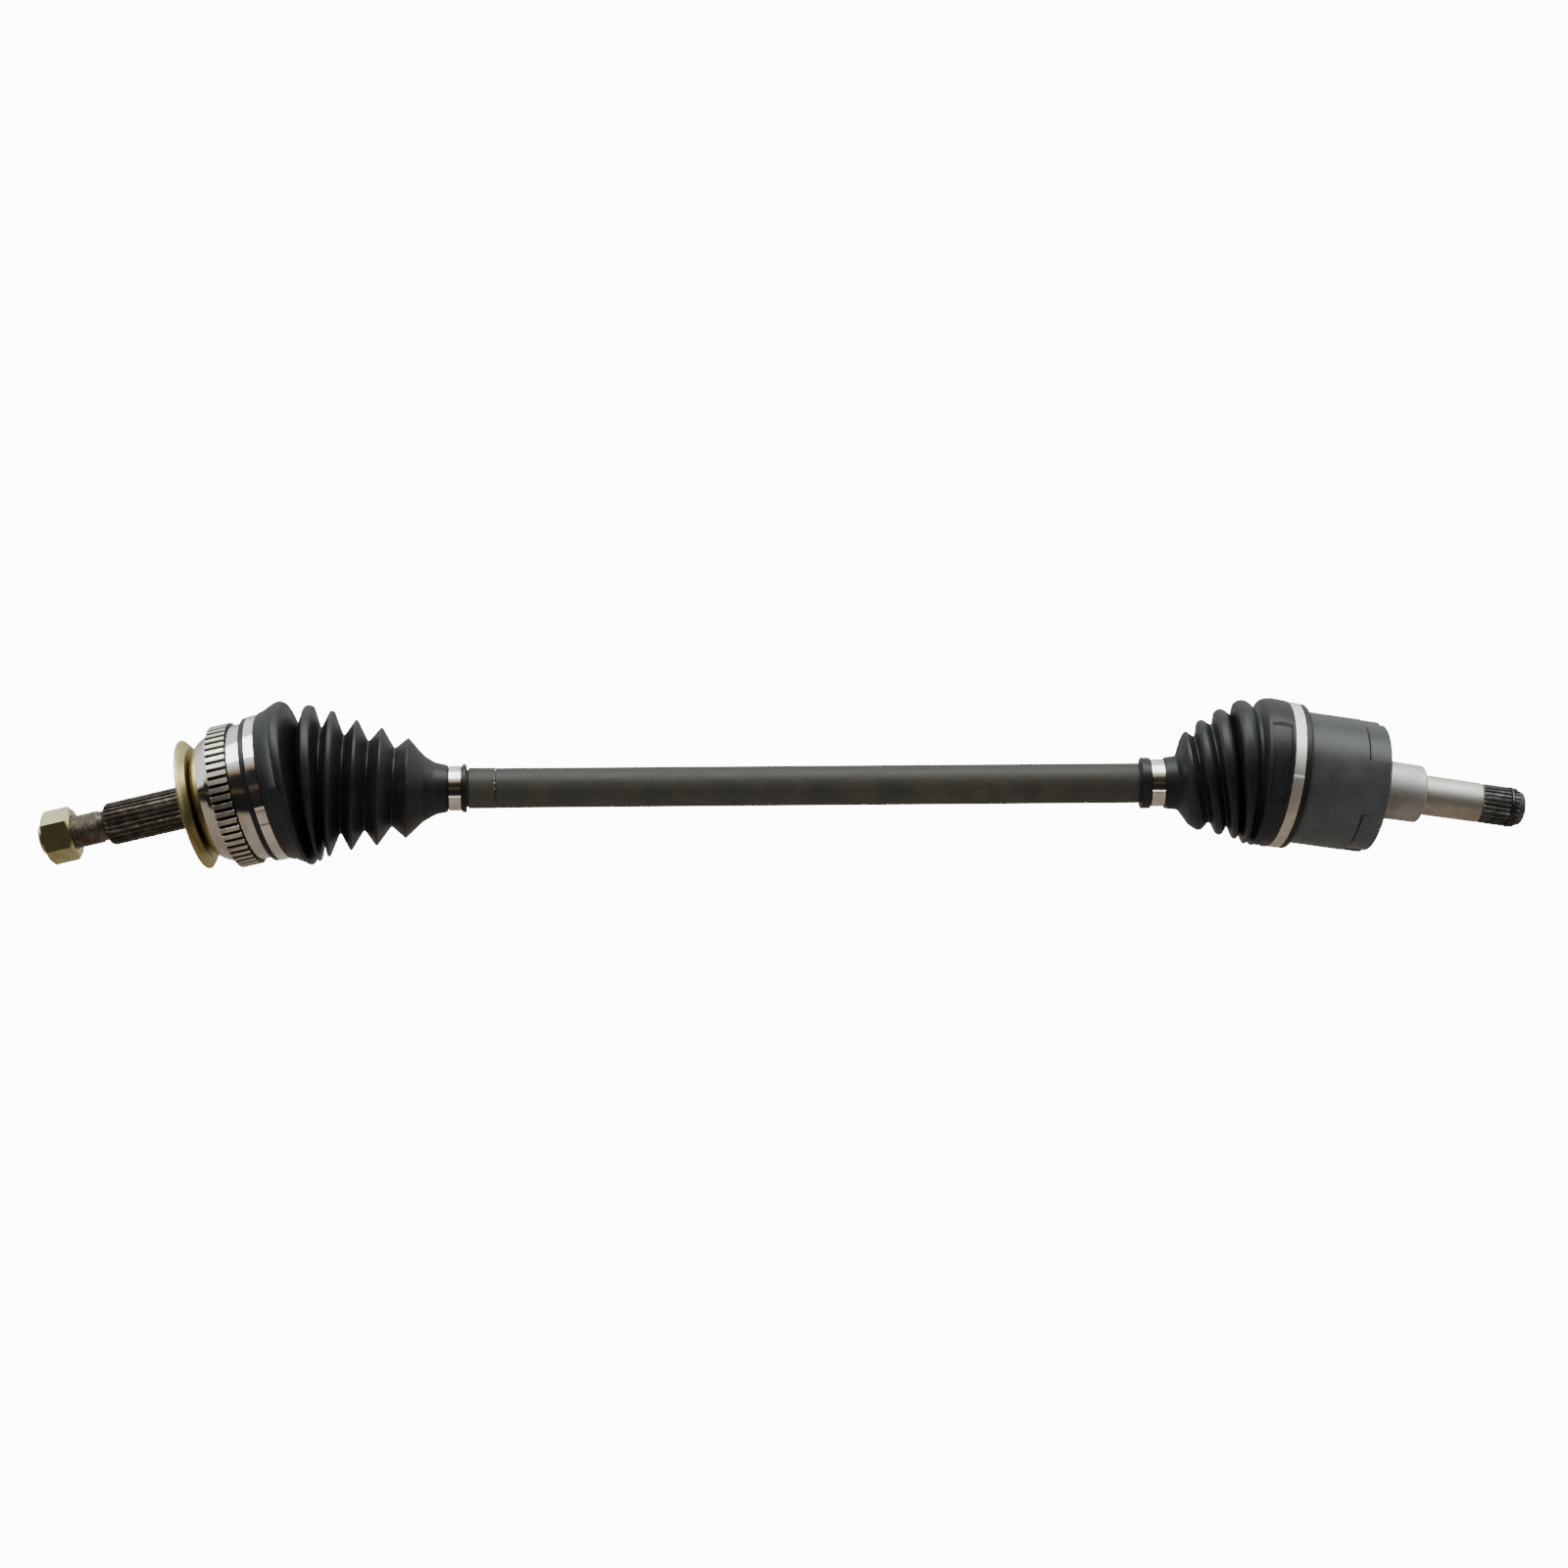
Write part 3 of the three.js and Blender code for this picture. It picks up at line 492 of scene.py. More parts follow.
# ---------------------------------------------------------------- tone ring
# A steel ring of square teeth, pressed on the bell, that the wheel speed sensor reads. The tooth
# tops are ground bright and the gaps keep their dark oxide.
tone_teeth = 54
tone_root = 46.9
tone_tip = 48.5
tone_bore = 44.8
tone_profile = toothed(tone_root, tone_tip, tone_teeth, flank=12, land=1.5)
tone_chamfer = toothed(tone_root - 0.15, tone_tip - 0.35, tone_teeth, flank=12, land=1.5)
tone_outline = [
    (8.3, tone_bore), (8.3, tone_chamfer), (8.6, tone_profile), (21.4, tone_profile),
    (21.7, tone_chamfer), (21.7, tone_bore),
]
tooth_steel = metal_finish(
    "tooth_steel", (0.66, 0.64, 0.56), (0.50, 0.47, 0.38), (0.36, 0.46), (1800, 3e-6)
)
gap_tree = tooth_steel.node_tree
gap_axes = gap_tree.nodes.new("ShaderNodeSeparateXYZ")
gap_tree.links.new(place_in(tooth_steel), gap_axes.inputs[0])
gap_flat = gap_tree.nodes.new("ShaderNodeCombineXYZ")
gap_tree.links.new(gap_axes.outputs["Y"], gap_flat.inputs["Y"])
gap_tree.links.new(gap_axes.outputs["Z"], gap_flat.inputs["Z"])
gap_radius = gap_tree.nodes.new("ShaderNodeVectorMath")
gap_radius.operation = "LENGTH"
gap_tree.links.new(gap_flat.outputs[0], gap_radius.inputs[0])
gap_depth = gap_tree.nodes.new("ShaderNodeMapRange")
gap_depth.inputs["From Min"].default_value = (tone_root + 0.7) * MM
gap_depth.inputs["From Max"].default_value = (tone_tip - 0.3) * MM
gap_tree.links.new(gap_radius.outputs["Value"], gap_depth.inputs["Value"])
gap_tint = gap_tree.nodes.new("ShaderNodeMix")
gap_tint.data_type = "RGBA"
gap_tint.inputs["A"].default_value = (0.035, 0.030, 0.026, 1)
gap_shader = gap_tree.nodes["Principled BSDF"]
gap_tree.links.new(gap_shader.inputs["Base Color"].links[0].from_socket, gap_tint.inputs["B"])
gap_tree.links.new(gap_depth.outputs["Result"], gap_tint.inputs["Factor"])
gap_tree.links.new(gap_tint.outputs["Result"], gap_shader.inputs["Base Color"])
tone_ring = skinned(
    "tone_ring_teeth",
    turned_rings(tone_outline, tone_teeth * 12),
    wheel_frame,
    [tooth_steel],
    loop=True,
)
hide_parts("tone_ring")
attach(tone_ring, "wheel_stub")

# ---------------------------------------------------------------- dust deflector
# A dished ring pressed from sheet steel, plated yellow, with its rim rolled over. It is pushed
# down the spline until its web meets the bell.
yellow_plate = metal_finish(
    "yellow_plate", (0.52, 0.46, 0.215), (0.40, 0.33, 0.14), (0.36, 0.46), (700, 4e-6),
    patches=(50.0, 0.3, 0.8),
)
deflector_outline = rounded([
    (39.9, 14.7), (39.9, 32, 3), (39.2, 36.4, 0.6), (38.9, 37.4, 0.4), (39.0, 38.5, 0.9),
    (41.6, 42.2, 6), (43.4, 44.2, 0.9), (44.7, 43.9, 0.7), (44.2, 42.0, 1), (42.4, 37.6, 4),
    (41.1, 33, 3), (41.1, 14.7),
], 0)
deflector = skinned(
    "dust_deflector_dish", turned_rings(deflector_outline, 160), wheel_frame, [yellow_plate], loop=True
)
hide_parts("dust_deflector")
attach(deflector, "wheel_stub")

# ---------------------------------------------------------------- hub nut
# A cold-formed hexagon nut with a yellow passivated finish, chamfered at both ends and with a
# round washer face towards the hub.
nut_half_flats = 16
nut_from = 128
nut_to = 148


def hexagon(limit):
    """A hexagon's radius by angle, cut off by a cone's radius at the same place along the nut."""
    def radius(angle):
        off = angle % (math.pi / 3) - math.pi / 6
        return min(nut_half_flats / math.cos(off), limit)

    return radius


nut_outline = [(nut_from + 0.8, 11.3), (nut_from, 12.4)]
nut_outline += [(nut_from, 15.5), (nut_from + 0.5, 15.6)]
nut_outline += [(nut_from + 0.6 + 0.28 * k, hexagon(16.2 + 0.5 * k)) for k in range(6)]
nut_outline += [(nut_to - 1.5 + 0.28 * k, hexagon(18.7 - 0.52 * k)) for k in range(6)]
nut_outline += [(nut_to, 15.5), (nut_to, 12.4), (nut_to - 0.8, 11.3)]
nut_plate = metal_finish(
    "nut_plate", (0.66, 0.64, 0.37), (0.42, 0.37, 0.14), (0.26, 0.38), (500, 3e-6),
    patches=(90.0, 0.42, 0.75),
)
nut = skinned(
    "hub_nut_hexagon", turned_rings(nut_outline, 144), wheel_frame, [nut_plate], loop=True, crease=25
)
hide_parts("hub_nut")
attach(nut, "nut")

# ---------------------------------------------------------------- wheel-end large clamp
# A bright steel strip drawn round the boot and locked, with one end lying over the other. The
# lap's end is a step and the tongue under it shows as a fine line across the band.
lap_step = 0.45
lap_degrees = 42
line_half_degrees = 0.6
line_depth = 0.3


def strip_outline(inner, outer, from_x, to_x, lap_from, line_at):
    """A flat strip's section with eased edges, thicker in the lap and grooved at the fine line."""
    def lapped(radius):
        def at(angle):
            degrees = math.degrees(angle)
            in_lap = (degrees - lap_from) % 360 <= lap_degrees
            on_line = abs((degrees - line_at + 180) % 360 - 180) < line_half_degrees
            return radius + (lap_step if in_lap else 0) - (line_depth if on_line else 0)

        return at

    ease = 0.2
    return [
        (from_x, inner), (from_x, lapped(outer - ease)), (from_x + ease, lapped(outer)),
        (to_x - ease, lapped(outer)), (to_x, lapped(outer - ease)), (to_x, inner),
    ]


bright_band = metal_finish(
    "bright_band", (0.86, 0.85, 0.82), (0.74, 0.72, 0.67), (0.10, 0.18), (1500, 1e-6)
)
wheel_large_clamp = skinned(
    "wheel_end_large_clamp",
    turned_rings(strip_outline(48.4, 49.5, -12.2, -5.2, 15, 2), 360),
    wheel_frame,
    [bright_band],
    loop=True,
)
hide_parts("outboard_large_clamp")
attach(wheel_large_clamp, "wheel_stub")

# ---------------------------------------------------------------- wheel-end boot
# A bellows blow-moulded in black thermoplastic rubber: a broad cone, six sharp folds that shrink
# towards the bar and a long plain cone. It keeps the grease in and turns with the axle.
bar_frame = line_frame(wheel_pivot, bar_line)
boot_rubber = bpy.data.materials.new("boot_rubber")
boot_rubber.use_nodes = True
rubber_tree = boot_rubber.node_tree
rubber_shader = rubber_tree.nodes["Principled BSDF"]
rubber_shader.inputs["Specular IOR Level"].default_value = 0.30
rubber_place = place_in(boot_rubber)
bloom = placed(boot_rubber, grime, rubber_place, Scale=35.0, Low=0.35, High=0.75)
rubber_tint = rubber_tree.nodes.new("ShaderNodeMix")
rubber_tint.data_type = "RGBA"
rubber_tint.inputs["A"].default_value = (0.0040, 0.0044, 0.0050, 1)
rubber_tint.inputs["B"].default_value = (0.0075, 0.0080, 0.0086, 1)
rubber_tree.links.new(bloom.outputs["Mask"], rubber_tint.inputs["Factor"])
rubber_tree.links.new(rubber_tint.outputs["Result"], rubber_shader.inputs["Base Color"])
rubber_polish = rubber_tree.nodes.new("ShaderNodeMapRange")
rubber_polish.inputs["To Min"].default_value = 0.36
rubber_polish.inputs["To Max"].default_value = 0.48
rubber_tree.links.new(bloom.outputs["Mask"], rubber_polish.inputs["Value"])
rubber_tree.links.new(rubber_polish.outputs["Result"], rubber_shader.inputs["Roughness"])
rubber_grain = rubber_tree.nodes.new("ShaderNodeTexNoise")
rubber_grain.inputs["Scale"].default_value = 1400
rubber_grain.inputs["Detail"].default_value = 4
rubber_tree.links.new(rubber_place, rubber_grain.inputs["Vector"])
rubber_relief = rubber_tree.nodes.new("ShaderNodeBump")
rubber_relief.inputs["Distance"].default_value = 2.5e-5
rubber_tree.links.new(rubber_grain.outputs["Fac"], rubber_relief.inputs["Height"])
rubber_tree.links.new(rubber_relief.outputs["Normal"], rubber_shader.inputs["Normal"])


def smooth(u):
    t = min(max(u, 0), 1)
    return t * t * (3 - 2 * t)


def soft_minimum(a, b, softness=0.6):
    return -softness * math.log(math.exp(-a / softness) + math.exp(-b / softness))


def bellows_rings(outside, inside, curve, side, around=144, sunk=None):
    """A boot's rings, which lean and lift so that they follow the bent joint from stub to bar.
    side is 1 where the bar runs towards +X from the joint, and -1 where it runs the other way.
    sunk(t, angle) is how far the outside is sunk there."""
    rings = []
    for i, (t, r) in enumerate(outside + inside[::-1]):
        lean, lift, along = curve(t)
        ring = []
        for k in range(around):
            angle = 2 * math.pi * k / around
            out = r - sunk(t, angle) if sunk and i < len(outside) else r
            z = out * math.sin(angle)
            x = side * (along - z * math.sin(lean))
            ring.append((x, out * math.cos(angle), lift + z * math.cos(lean)))
        rings.append(ring)
    return rings


wheel_droop = math.radians(14.6)
wheel_seat_reach = 14


def wheel_boot_curve(t):
    """Lean, lift and place along the bar of the ring at t. Rings on the bell stay square to it."""
    if t < wheel_seat_reach:
        along = t * math.cos(wheel_droop)
        return wheel_droop, along * math.tan(wheel_droop), along
    bow = (t - 30) / 88
    sway = math.radians(3.6) * (4 * bow * (1 - bow) if 0 < bow < 1 else 0)
    lean = wheel_droop * (1 - smooth((t - 18) / 34)) - sway
    lift = soft_minimum(t * math.tan(wheel_droop), 5.3 * (1 - smooth((t - 25) / 95)))
    return lean, lift, t


wheel_ridges = [
    (25.2, 55.9, 2.2), (37.9, 52.5, 1.7), (48.6, 49, 1.3), (64, 43.8, 1.0), (80.9, 39.7, 0.8),
    (99.4, 33.7, 0.6),
]
wheel_valleys = [(32, 37.5), (43, 36), (56.3, 32.4), (72.4, 29.8), (90.2, 26.3)]
fold_wall = 2.4
ridge_wall = 3.6
neck_bore = 12.95
split_at = 0


def wheel_folds(ridges, valleys):
    """The outside and inside of a run of folds, valley after ridge."""
    outside = []
    inside = []
    for i, (t, r, half) in enumerate(ridges):
        flank = r - half / 3
        outside += [(t - half, flank, half), (t, r + half / 6, half), (t + half, flank, half)]
        inside.append((t, r - ridge_wall, 0.8))
        if i < len(valleys):
            vt, vr = valleys[i]
            outside.append((vt, vr, 1.1))
            inside.append((vt, vr - fold_wall, 0.8))
    return outside, inside


wheel_seat = 45.75
outside, inside = wheel_folds(wheel_ridges[:split_at + 1], wheel_valleys[:split_at + 1])
near_outside = rounded([
    (1.4, wheel_seat), (1.4, 49.1, 0.9), (4.8, 49.3, 0.6), (4.95, 48.1, 0.2), (12.4, 48.1, 0.3),
    (12.6, 50.2, 0.8), (15.6, 51.2, 1.5),
] + outside, 0.5)
near_inside = rounded([(1.4, wheel_seat), (13.6, wheel_seat), (16, 47.4)] + inside, 0.5)
wheel_boot_near = skinned(
    "wheel_end_boot_cone_and_first_fold",
    bellows_rings(near_outside, near_inside[1:], wheel_boot_curve, 1),
    bar_frame, [boot_rubber], loop=True, crease=70,
)
outside, inside = wheel_folds(wheel_ridges[split_at + 1:], wheel_valleys[split_at + 1:])
join_t, join_r = wheel_valleys[split_at]
far_outside = rounded([(join_t, join_r)] + outside + [
    (110.5, 22.4, 9), (118.5, 17.6, 12), (126.6, 15.9, 0.6), (127.05, 14.3, 0.2), (136.2, 14.2, 0.2),
    (136.4, 16.3, 0.5), (139.2, 16.4, 0.6), (139.3, neck_bore),
], 0.5)
far_inside = rounded([(join_t, join_r - fold_wall)] + inside + [
    (108, 20.5), (116.5, 15.8), (126, 13.9), (127, neck_bore), (138.8, neck_bore),
], 0.5)
wheel_boot_far = skinned(
    "wheel_end_boot_folds_and_neck",
    bellows_rings(far_outside, far_inside, wheel_boot_curve, 1),
    bar_frame, [boot_rubber], loop=True, crease=70,
)
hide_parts("outboard_boot")
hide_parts("outboard_boot")


def beyond_ring(place, curve, side, t, reach):
    """The point a distance beyond the middle of the ring at t, square to the ring."""
    lean, lift, along = curve(t)
    x = side * (along + reach * math.cos(lean))
    return tuple(place @ (Vector((x, 0, lift + reach * math.sin(lean))) * MM))


# The near piece runs to the first valley and the far piece on from there. Points beyond the seat's end
# and beyond the seam are worked out, and both pieces are baked where they lie.
wheel_seat_end = 13
ridge_bend_from, ridge_bend_to = 9.6, 15.4
wheel_fold_bend = 25
beyond_ring(bar_frame, wheel_boot_curve, 1, wheel_seat_end, ridge_bend_to)
beyond_ring(bar_frame, wheel_boot_curve, 1, wheel_seat_end, ridge_bend_from)
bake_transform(wheel_boot_near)
beyond_ring(bar_frame, wheel_boot_curve, 1, join_t, wheel_fold_bend)
beyond_ring(bar_frame, wheel_boot_curve, 1, join_t, 0)
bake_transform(wheel_boot_far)

# ---------------------------------------------------------------- wheel-end small clamp
# The same bright strip as the large clamp, drawn down on the boot's neck.
small_band = metal_finish(
    "small_band", (0.82, 0.81, 0.77), (0.66, 0.63, 0.57), (0.12, 0.20), (1500, 1e-6)
)
wheel_small_clamp = skinned(
    "wheel_end_small_clamp",
    turned_rings(strip_outline(14.5, 15.1, 127.6, 136, 170, 205), 240),
    bar_frame,
    [small_band],
    loop=True,
)
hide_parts("outboard_small_clamp")
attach(wheel_small_clamp, "shaft")

# ---------------------------------------------------------------- bar
# Solid forged steel bar in thin matt dark paint, a little thicker beside the wheel-end boot. Its
# splined ends sit inside the two joints. Handling has nicked the shoulder down to bare metal.
span = (gearbox_pivot - wheel_pivot).length / MM
bar_radius = 13.5
neck_radius = 12.5
seat_radius = 12.6
collar_radius = 13.75
collar_end = 158.6
bar_teeth = 24
bar_spline = toothed(11.5, 12.5, bar_teeth)
bar_outline = rounded([(-15.5, 10.6), (-14.5, 11.6), (-12.4, 11.6)], 0)
bar_outline += [(-12.2, bar_spline), (12.6, bar_spline), (13.5, neck_radius)]
bar_outline += rounded([
    (14, neck_radius), (30, neck_radius, 4), (36, bar_radius, 4), (125.5, bar_radius, 0.3),
    (126.2, seat_radius, 0.3), (140.2, seat_radius, 0.3), (140.9, collar_radius, 0.5),
    (collar_end, collar_radius, 0.15), (collar_end + 0.35, bar_radius, 0.1),
    (span / 2, bar_radius), (span - 130.5, bar_radius, 0.3), (span - 129.8, seat_radius, 0.3),
    (span - 109, seat_radius, 0.3), (span - 108, neck_radius, 0.3), (span - 14, neck_radius),
], 0)
bar_outline += [(span - 13.2, bar_spline), (span + 11, bar_spline), (span + 11.2, 11.6)]
bar_outline += [(span + 14.5, 11.6), (span + 15.5, 10.6)]


def share_of_reach(group, axes, start):
    """How far a place lies from the edge along X, as a share of the reach."""
    away = calculate(group, "SUBTRACT", axes.outputs["X"], start.outputs["Edge"])
    away = calculate(group, "ABSOLUTE", away)
    return calculate(group, "DIVIDE", away, start.outputs["Reach"])


def distance_out(group, axes):
    """How far a place lies from the X axis."""
    aside = calculate(group, "MULTIPLY", axes.outputs["Y"], axes.outputs["Y"])
    raised = calculate(group, "MULTIPLY", axes.outputs["Z"], axes.outputs["Z"])
    return calculate(group, "SQRT", calculate(group, "ADD", aside, raised))


# Edge chips: specks of bare metal within reach of one place along X, outside a given radius.
edge_chips, start, end, place = effect(
    "edge_chips", {"Edge": 0.0, "Reach": 0.001, "Share": 0.6, "Outside": 0.0}, ["Mask"]
)
axes = edge_chips.nodes.new("ShaderNodeSeparateXYZ")
edge_chips.links.new(place, axes.inputs[0])
close = calculate(edge_chips, "LESS_THAN", share_of_reach(edge_chips, axes, start), 1.0)
specks = edge_chips.nodes.new("ShaderNodeTexNoise")
specks.inputs["Scale"].default_value = 420
edge_chips.links.new(place, specks.inputs["Vector"])
bare = calculate(edge_chips, "GREATER_THAN", specks.outputs["Fac"], start.outputs["Share"])
chip_out = distance_out(edge_chips, axes)
rim = calculate(edge_chips, "GREATER_THAN", chip_out, start.outputs["Outside"])
on_rim = calculate(edge_chips, "MULTIPLY", rim, calculate(edge_chips, "MULTIPLY", close, bare))
edge_chips.links.new(on_rim, end.inputs["Mask"])

# Painted shade: a dark line painted at one place along X, where the surface is under a given radius,
# standing in for the shade at the foot of a step.
painted_step_shade, start, end, place = effect(
    "painted_step_shade", {"Edge": 0.0, "Reach": 0.001, "Under": 1.0}, ["Mask"]
)
axes = painted_step_shade.nodes.new("ShaderNodeSeparateXYZ")
painted_step_shade.links.new(place, axes.inputs[0])
away = calculate(painted_step_shade, "MINIMUM", share_of_reach(painted_step_shade, axes, start), 1.0)
close = calculate(painted_step_shade, "SUBTRACT", 1.0, away)
low = calculate(painted_step_shade, "LESS_THAN", distance_out(painted_step_shade, axes), start.outputs["Under"])
painted_step_shade.links.new(calculate(painted_step_shade, "MULTIPLY", close, low), end.inputs["Mask"])


def paint_finish(name, fresh, worn, roughness, grain, chip_edges, step_shade_line):
    """Thin matt paint with soft uneven patches and a fine orange peel, chipped to bare steel near the
    given edges, and with a dark line of painted shade at the foot of a step. chip_edges lists (place
    along X, reach, least radius) in mm and the share left whole, and the painted shade line is given as
    (place along X, reach, greatest radius) in mm."""
    material = bpy.data.materials.new(name)
    material.use_nodes = True
    tree = material.node_tree
    shader = tree.nodes["Principled BSDF"]
    shader.inputs["Specular IOR Level"].default_value = 0.32
    place = place_in(material)
    film = placed(material, grime, place, Scale=45.0, Low=0.3, High=0.75)
    tint = tree.nodes.new("ShaderNodeMix")
    tint.data_type = "RGBA"
    tint.inputs["A"].default_value = (*fresh, 1)
    tint.inputs["B"].default_value = (*worn, 1)
    tree.links.new(film.outputs["Mask"], tint.inputs["Factor"])
    line_at, line_reach, line_under = step_shade_line
    line = placed(
        material, painted_step_shade, place,
        Edge=line_at * MM, Reach=line_reach * MM, Under=line_under * MM,
    )
    # Painted shade: near black laid along the line, where the foot of the step would lie in shade.
    shaded = tree.nodes.new("ShaderNodeMix")
    shaded.data_type = "RGBA"
    shaded.inputs["B"].default_value = (0.002, 0.002, 0.002, 1)
    tree.links.new(tint.outputs["Result"], shaded.inputs["A"])
    tree.links.new(line.outputs["Mask"], shaded.inputs["Factor"])
    colour = shaded.outputs["Result"]
    chipped = None
    for edge_at, reach, least, share_left in chip_edges:
        chips = placed(
            material, edge_chips, place,
            Edge=edge_at * MM, Reach=reach * MM, Outside=least * MM, Share=share_left,
        )
        if chipped:
            both = tree.nodes.new("ShaderNodeMath")
            both.operation = "MAXIMUM"
            tree.links.new(chipped, both.inputs[0])
            tree.links.new(chips.outputs["Mask"], both.inputs[1])
            chipped = both.outputs[0]
        else:
            chipped = chips.outputs["Mask"]
    bared = tree.nodes.new("ShaderNodeMix")
    bared.data_type = "RGBA"
    bared.inputs["B"].default_value = (0.75, 0.72, 0.66, 1)
    tree.links.new(colour, bared.inputs["A"])
    tree.links.new(chipped, bared.inputs["Factor"])
    tree.links.new(bared.outputs["Result"], shader.inputs["Base Color"])
    tree.links.new(chipped, shader.inputs["Metallic"])
    polish = tree.nodes.new("ShaderNodeMapRange")
    polish.inputs["To Min"].default_value = roughness[0]
    polish.inputs["To Max"].default_value = roughness[1]
    tree.links.new(film.outputs["Mask"], polish.inputs["Value"])
    tree.links.new(polish.outputs["Result"], shader.inputs["Roughness"])
    peel = tree.nodes.new("ShaderNodeTexNoise")
    peel.inputs["Scale"].default_value = grain[0]
    peel.inputs["Detail"].default_value = 4
    tree.links.new(place, peel.inputs["Vector"])
    relief = tree.nodes.new("ShaderNodeBump")
    relief.inputs["Distance"].default_value = grain[1]
    tree.links.new(peel.outputs["Fac"], relief.inputs["Height"])
    tree.links.new(relief.outputs["Normal"], shader.inputs["Normal"])
    return material


# The bar's paint takes a dark line of painted shade at the foot of the collar's shoulder.
bar_paint = paint_finish(
    "bar_paint", (0.018, 0.0165, 0.0125), (0.026, 0.0225, 0.0165), (0.48, 0.60), (900, 3e-5),
    [(collar_end, 0.6, 12, 0.62), (141, 0.5, 12, 0.68)], (collar_end + 0.5, 0.5, 20),
)
bar = skinned("solid_bar", turned_rings(bar_outline, bar_teeth * 8), bar_frame, [bar_paint])
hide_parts("drive_shaft")
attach(bar, "shaft")

# ---------------------------------------------------------------- gearbox-end small clamp
# A strip clamp like the one at the wheel end, slightly larger.
gearbox_small_clamp = skinned(
    "gearbox_end_small_clamp",
    turned_rings(strip_outline(15.3, 16, span - 122.1, span - 113, 168, 206), 240),
    bar_frame,
    [small_band],
    loop=True,
)
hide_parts("inboard_small_clamp")
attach(gearbox_small_clamp, "shaft")

# ---------------------------------------------------------------- gearbox-end boot
# A shorter bellows in the same rubber: a big smooth shoulder over the housing's mouth, with a flat
# moulded panel on it, four rounded folds and a steep cone down to the bar.
gearbox_droop = math.radians(9.8)
gearbox_seat_reach = 38.5


def gearbox_boot_curve(t):
    """Lean, lift and place of the ring at t, as for the wheel-end boot."""
    if t < gearbox_seat_reach:
        along = t * math.cos(gearbox_droop)
        return gearbox_droop, along * math.tan(gearbox_droop), along
    bow = (t - 46) / 61
    sway = math.radians(11) * (math.sin(math.pi * bow**1.5) if 0 < bow < 1 else 0)
    lean = gearbox_droop * (1 - smooth((t - 37) / 35)) - sway
    lift = soft_minimum(t * math.tan(gearbox_droop), 8.6 * (1 - smooth((t - 54) / 53)))
    return lean, lift, t


gearbox_ridges = [(60, 48.7), (70.3, 44.3), (81.5, 39.5), (93.4, 33.7)]
gearbox_valleys = [(54.2, 42.5), (65, 38.6), (75.6, 34.2), (87.2, 29)]
gearbox_split = 1
rounded_wall = 2.6


def gearbox_folds(valleys, ridges):
    """The outside and inside of a run of rounded folds, ridge after valley."""
    outside = []
    inside = []
    for (vt, vr), (t, r) in zip(valleys, ridges):
        outside += [(vt, vr, 1.2), (t - 3.0, r - 1.7, 2.5), (t - 1.1, r, 2.5)]
        outside += [(t + 1.1, r, 2.5), (t + 3.0, r - 1.7, 2.5)]
        inside += [(vt, vr - rounded_wall, 1), (t, r - 3.4, 1.5)]
    return outside, inside


gearbox_seat = 45.2
outside, inside = gearbox_folds(gearbox_valleys[:gearbox_split], gearbox_ridges[:gearbox_split])
split_t, split_r = gearbox_valleys[gearbox_split]
near_outside = rounded([
    (25.2, gearbox_seat), (25.2, 48.3, 1.2), (26.5, 49.3, 0.9), (29.8, 49.3, 0.5),
    (29.95, 48.3, 0.2), (37.8, 48.3, 0.3), (38.0, 49.9, 0.6), (39.4, 50.0), (39.7, 50.0),
    (43.5, 50.4), (47.0, 50.6), (49.6, 50.0), (49.9, 49.9), (51.3, 48.9, 1),
] + outside + [(split_t, split_r)], 0)
near_inside = rounded([
    (25.7, gearbox_seat), (36.9, gearbox_seat), (44.5, 45.6), (47.5, 46.8),
] + inside + [(split_t, split_r - rounded_wall)], 0.5)
panel_middles = [math.radians(degrees) for degrees in (139, 259, 19)]
panel_half = math.radians(31)
panel_depth = 1.1


def shoulder_panels(t, angle):
    """How far the shoulder is sunk by its three shallow panels, one near each roller track."""
    if not 39.5 < t < 49.7:
        return 0
    near = min(abs((angle - middle + math.pi) % (2 * math.pi) - math.pi) for middle in panel_middles)
    return panel_depth if near < panel_half else 0


gearbox_frame = line_frame(gearbox_pivot, joints["inboard_plunge"]["axis"])
bar_end_frame = line_frame(gearbox_pivot, bar_line)
gearbox_boot_near = skinned(
    "gearbox_end_boot_shoulder_and_first_fold",
    bellows_rings(near_outside, near_inside, gearbox_boot_curve, -1, 216, shoulder_panels),
    bar_end_frame, [boot_rubber], loop=True, crease=40,
)
outside, inside = gearbox_folds(gearbox_valleys[gearbox_split:], gearbox_ridges[gearbox_split:])
far_outside = rounded([(split_t, split_r)] + outside[1:] + [
    (99.3, 28.6, 3), (104.2, 18.4, 2.5), (112.5, 17.4, 0.4), (112.75, 15, 0.2), (122.3, 15, 0.2),
    (122.5, 17.3, 0.5), (128.7, 17.4, 0.7), (128.8, neck_bore),
], 0.5)
far_inside = rounded([(split_t, split_r - rounded_wall)] + inside[1:] + [
    (98.4, 24.4), (103.2, 14.8), (107, neck_bore), (128.2, neck_bore),
], 0.5)
gearbox_boot_far = skinned(
    "gearbox_end_boot_folds_and_neck",
    bellows_rings(far_outside, far_inside, gearbox_boot_curve, -1, 216),
    bar_end_frame, [boot_rubber], loop=True, crease=70,
)
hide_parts("inboard_boot")
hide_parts("inboard_boot")
gearbox_seat_end = 38.4
shoulder_bend_from, shoulder_bend_to = 1, 17
gearbox_fold_bend = 27
beyond_ring(bar_end_frame, gearbox_boot_curve, -1, gearbox_seat_end, shoulder_bend_to)
beyond_ring(bar_end_frame, gearbox_boot_curve, -1, gearbox_seat_end, shoulder_bend_from)
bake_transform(gearbox_boot_near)
beyond_ring(bar_end_frame, gearbox_boot_curve, -1, split_t, gearbox_fold_bend)
beyond_ring(bar_end_frame, gearbox_boot_curve, -1, split_t, 0)
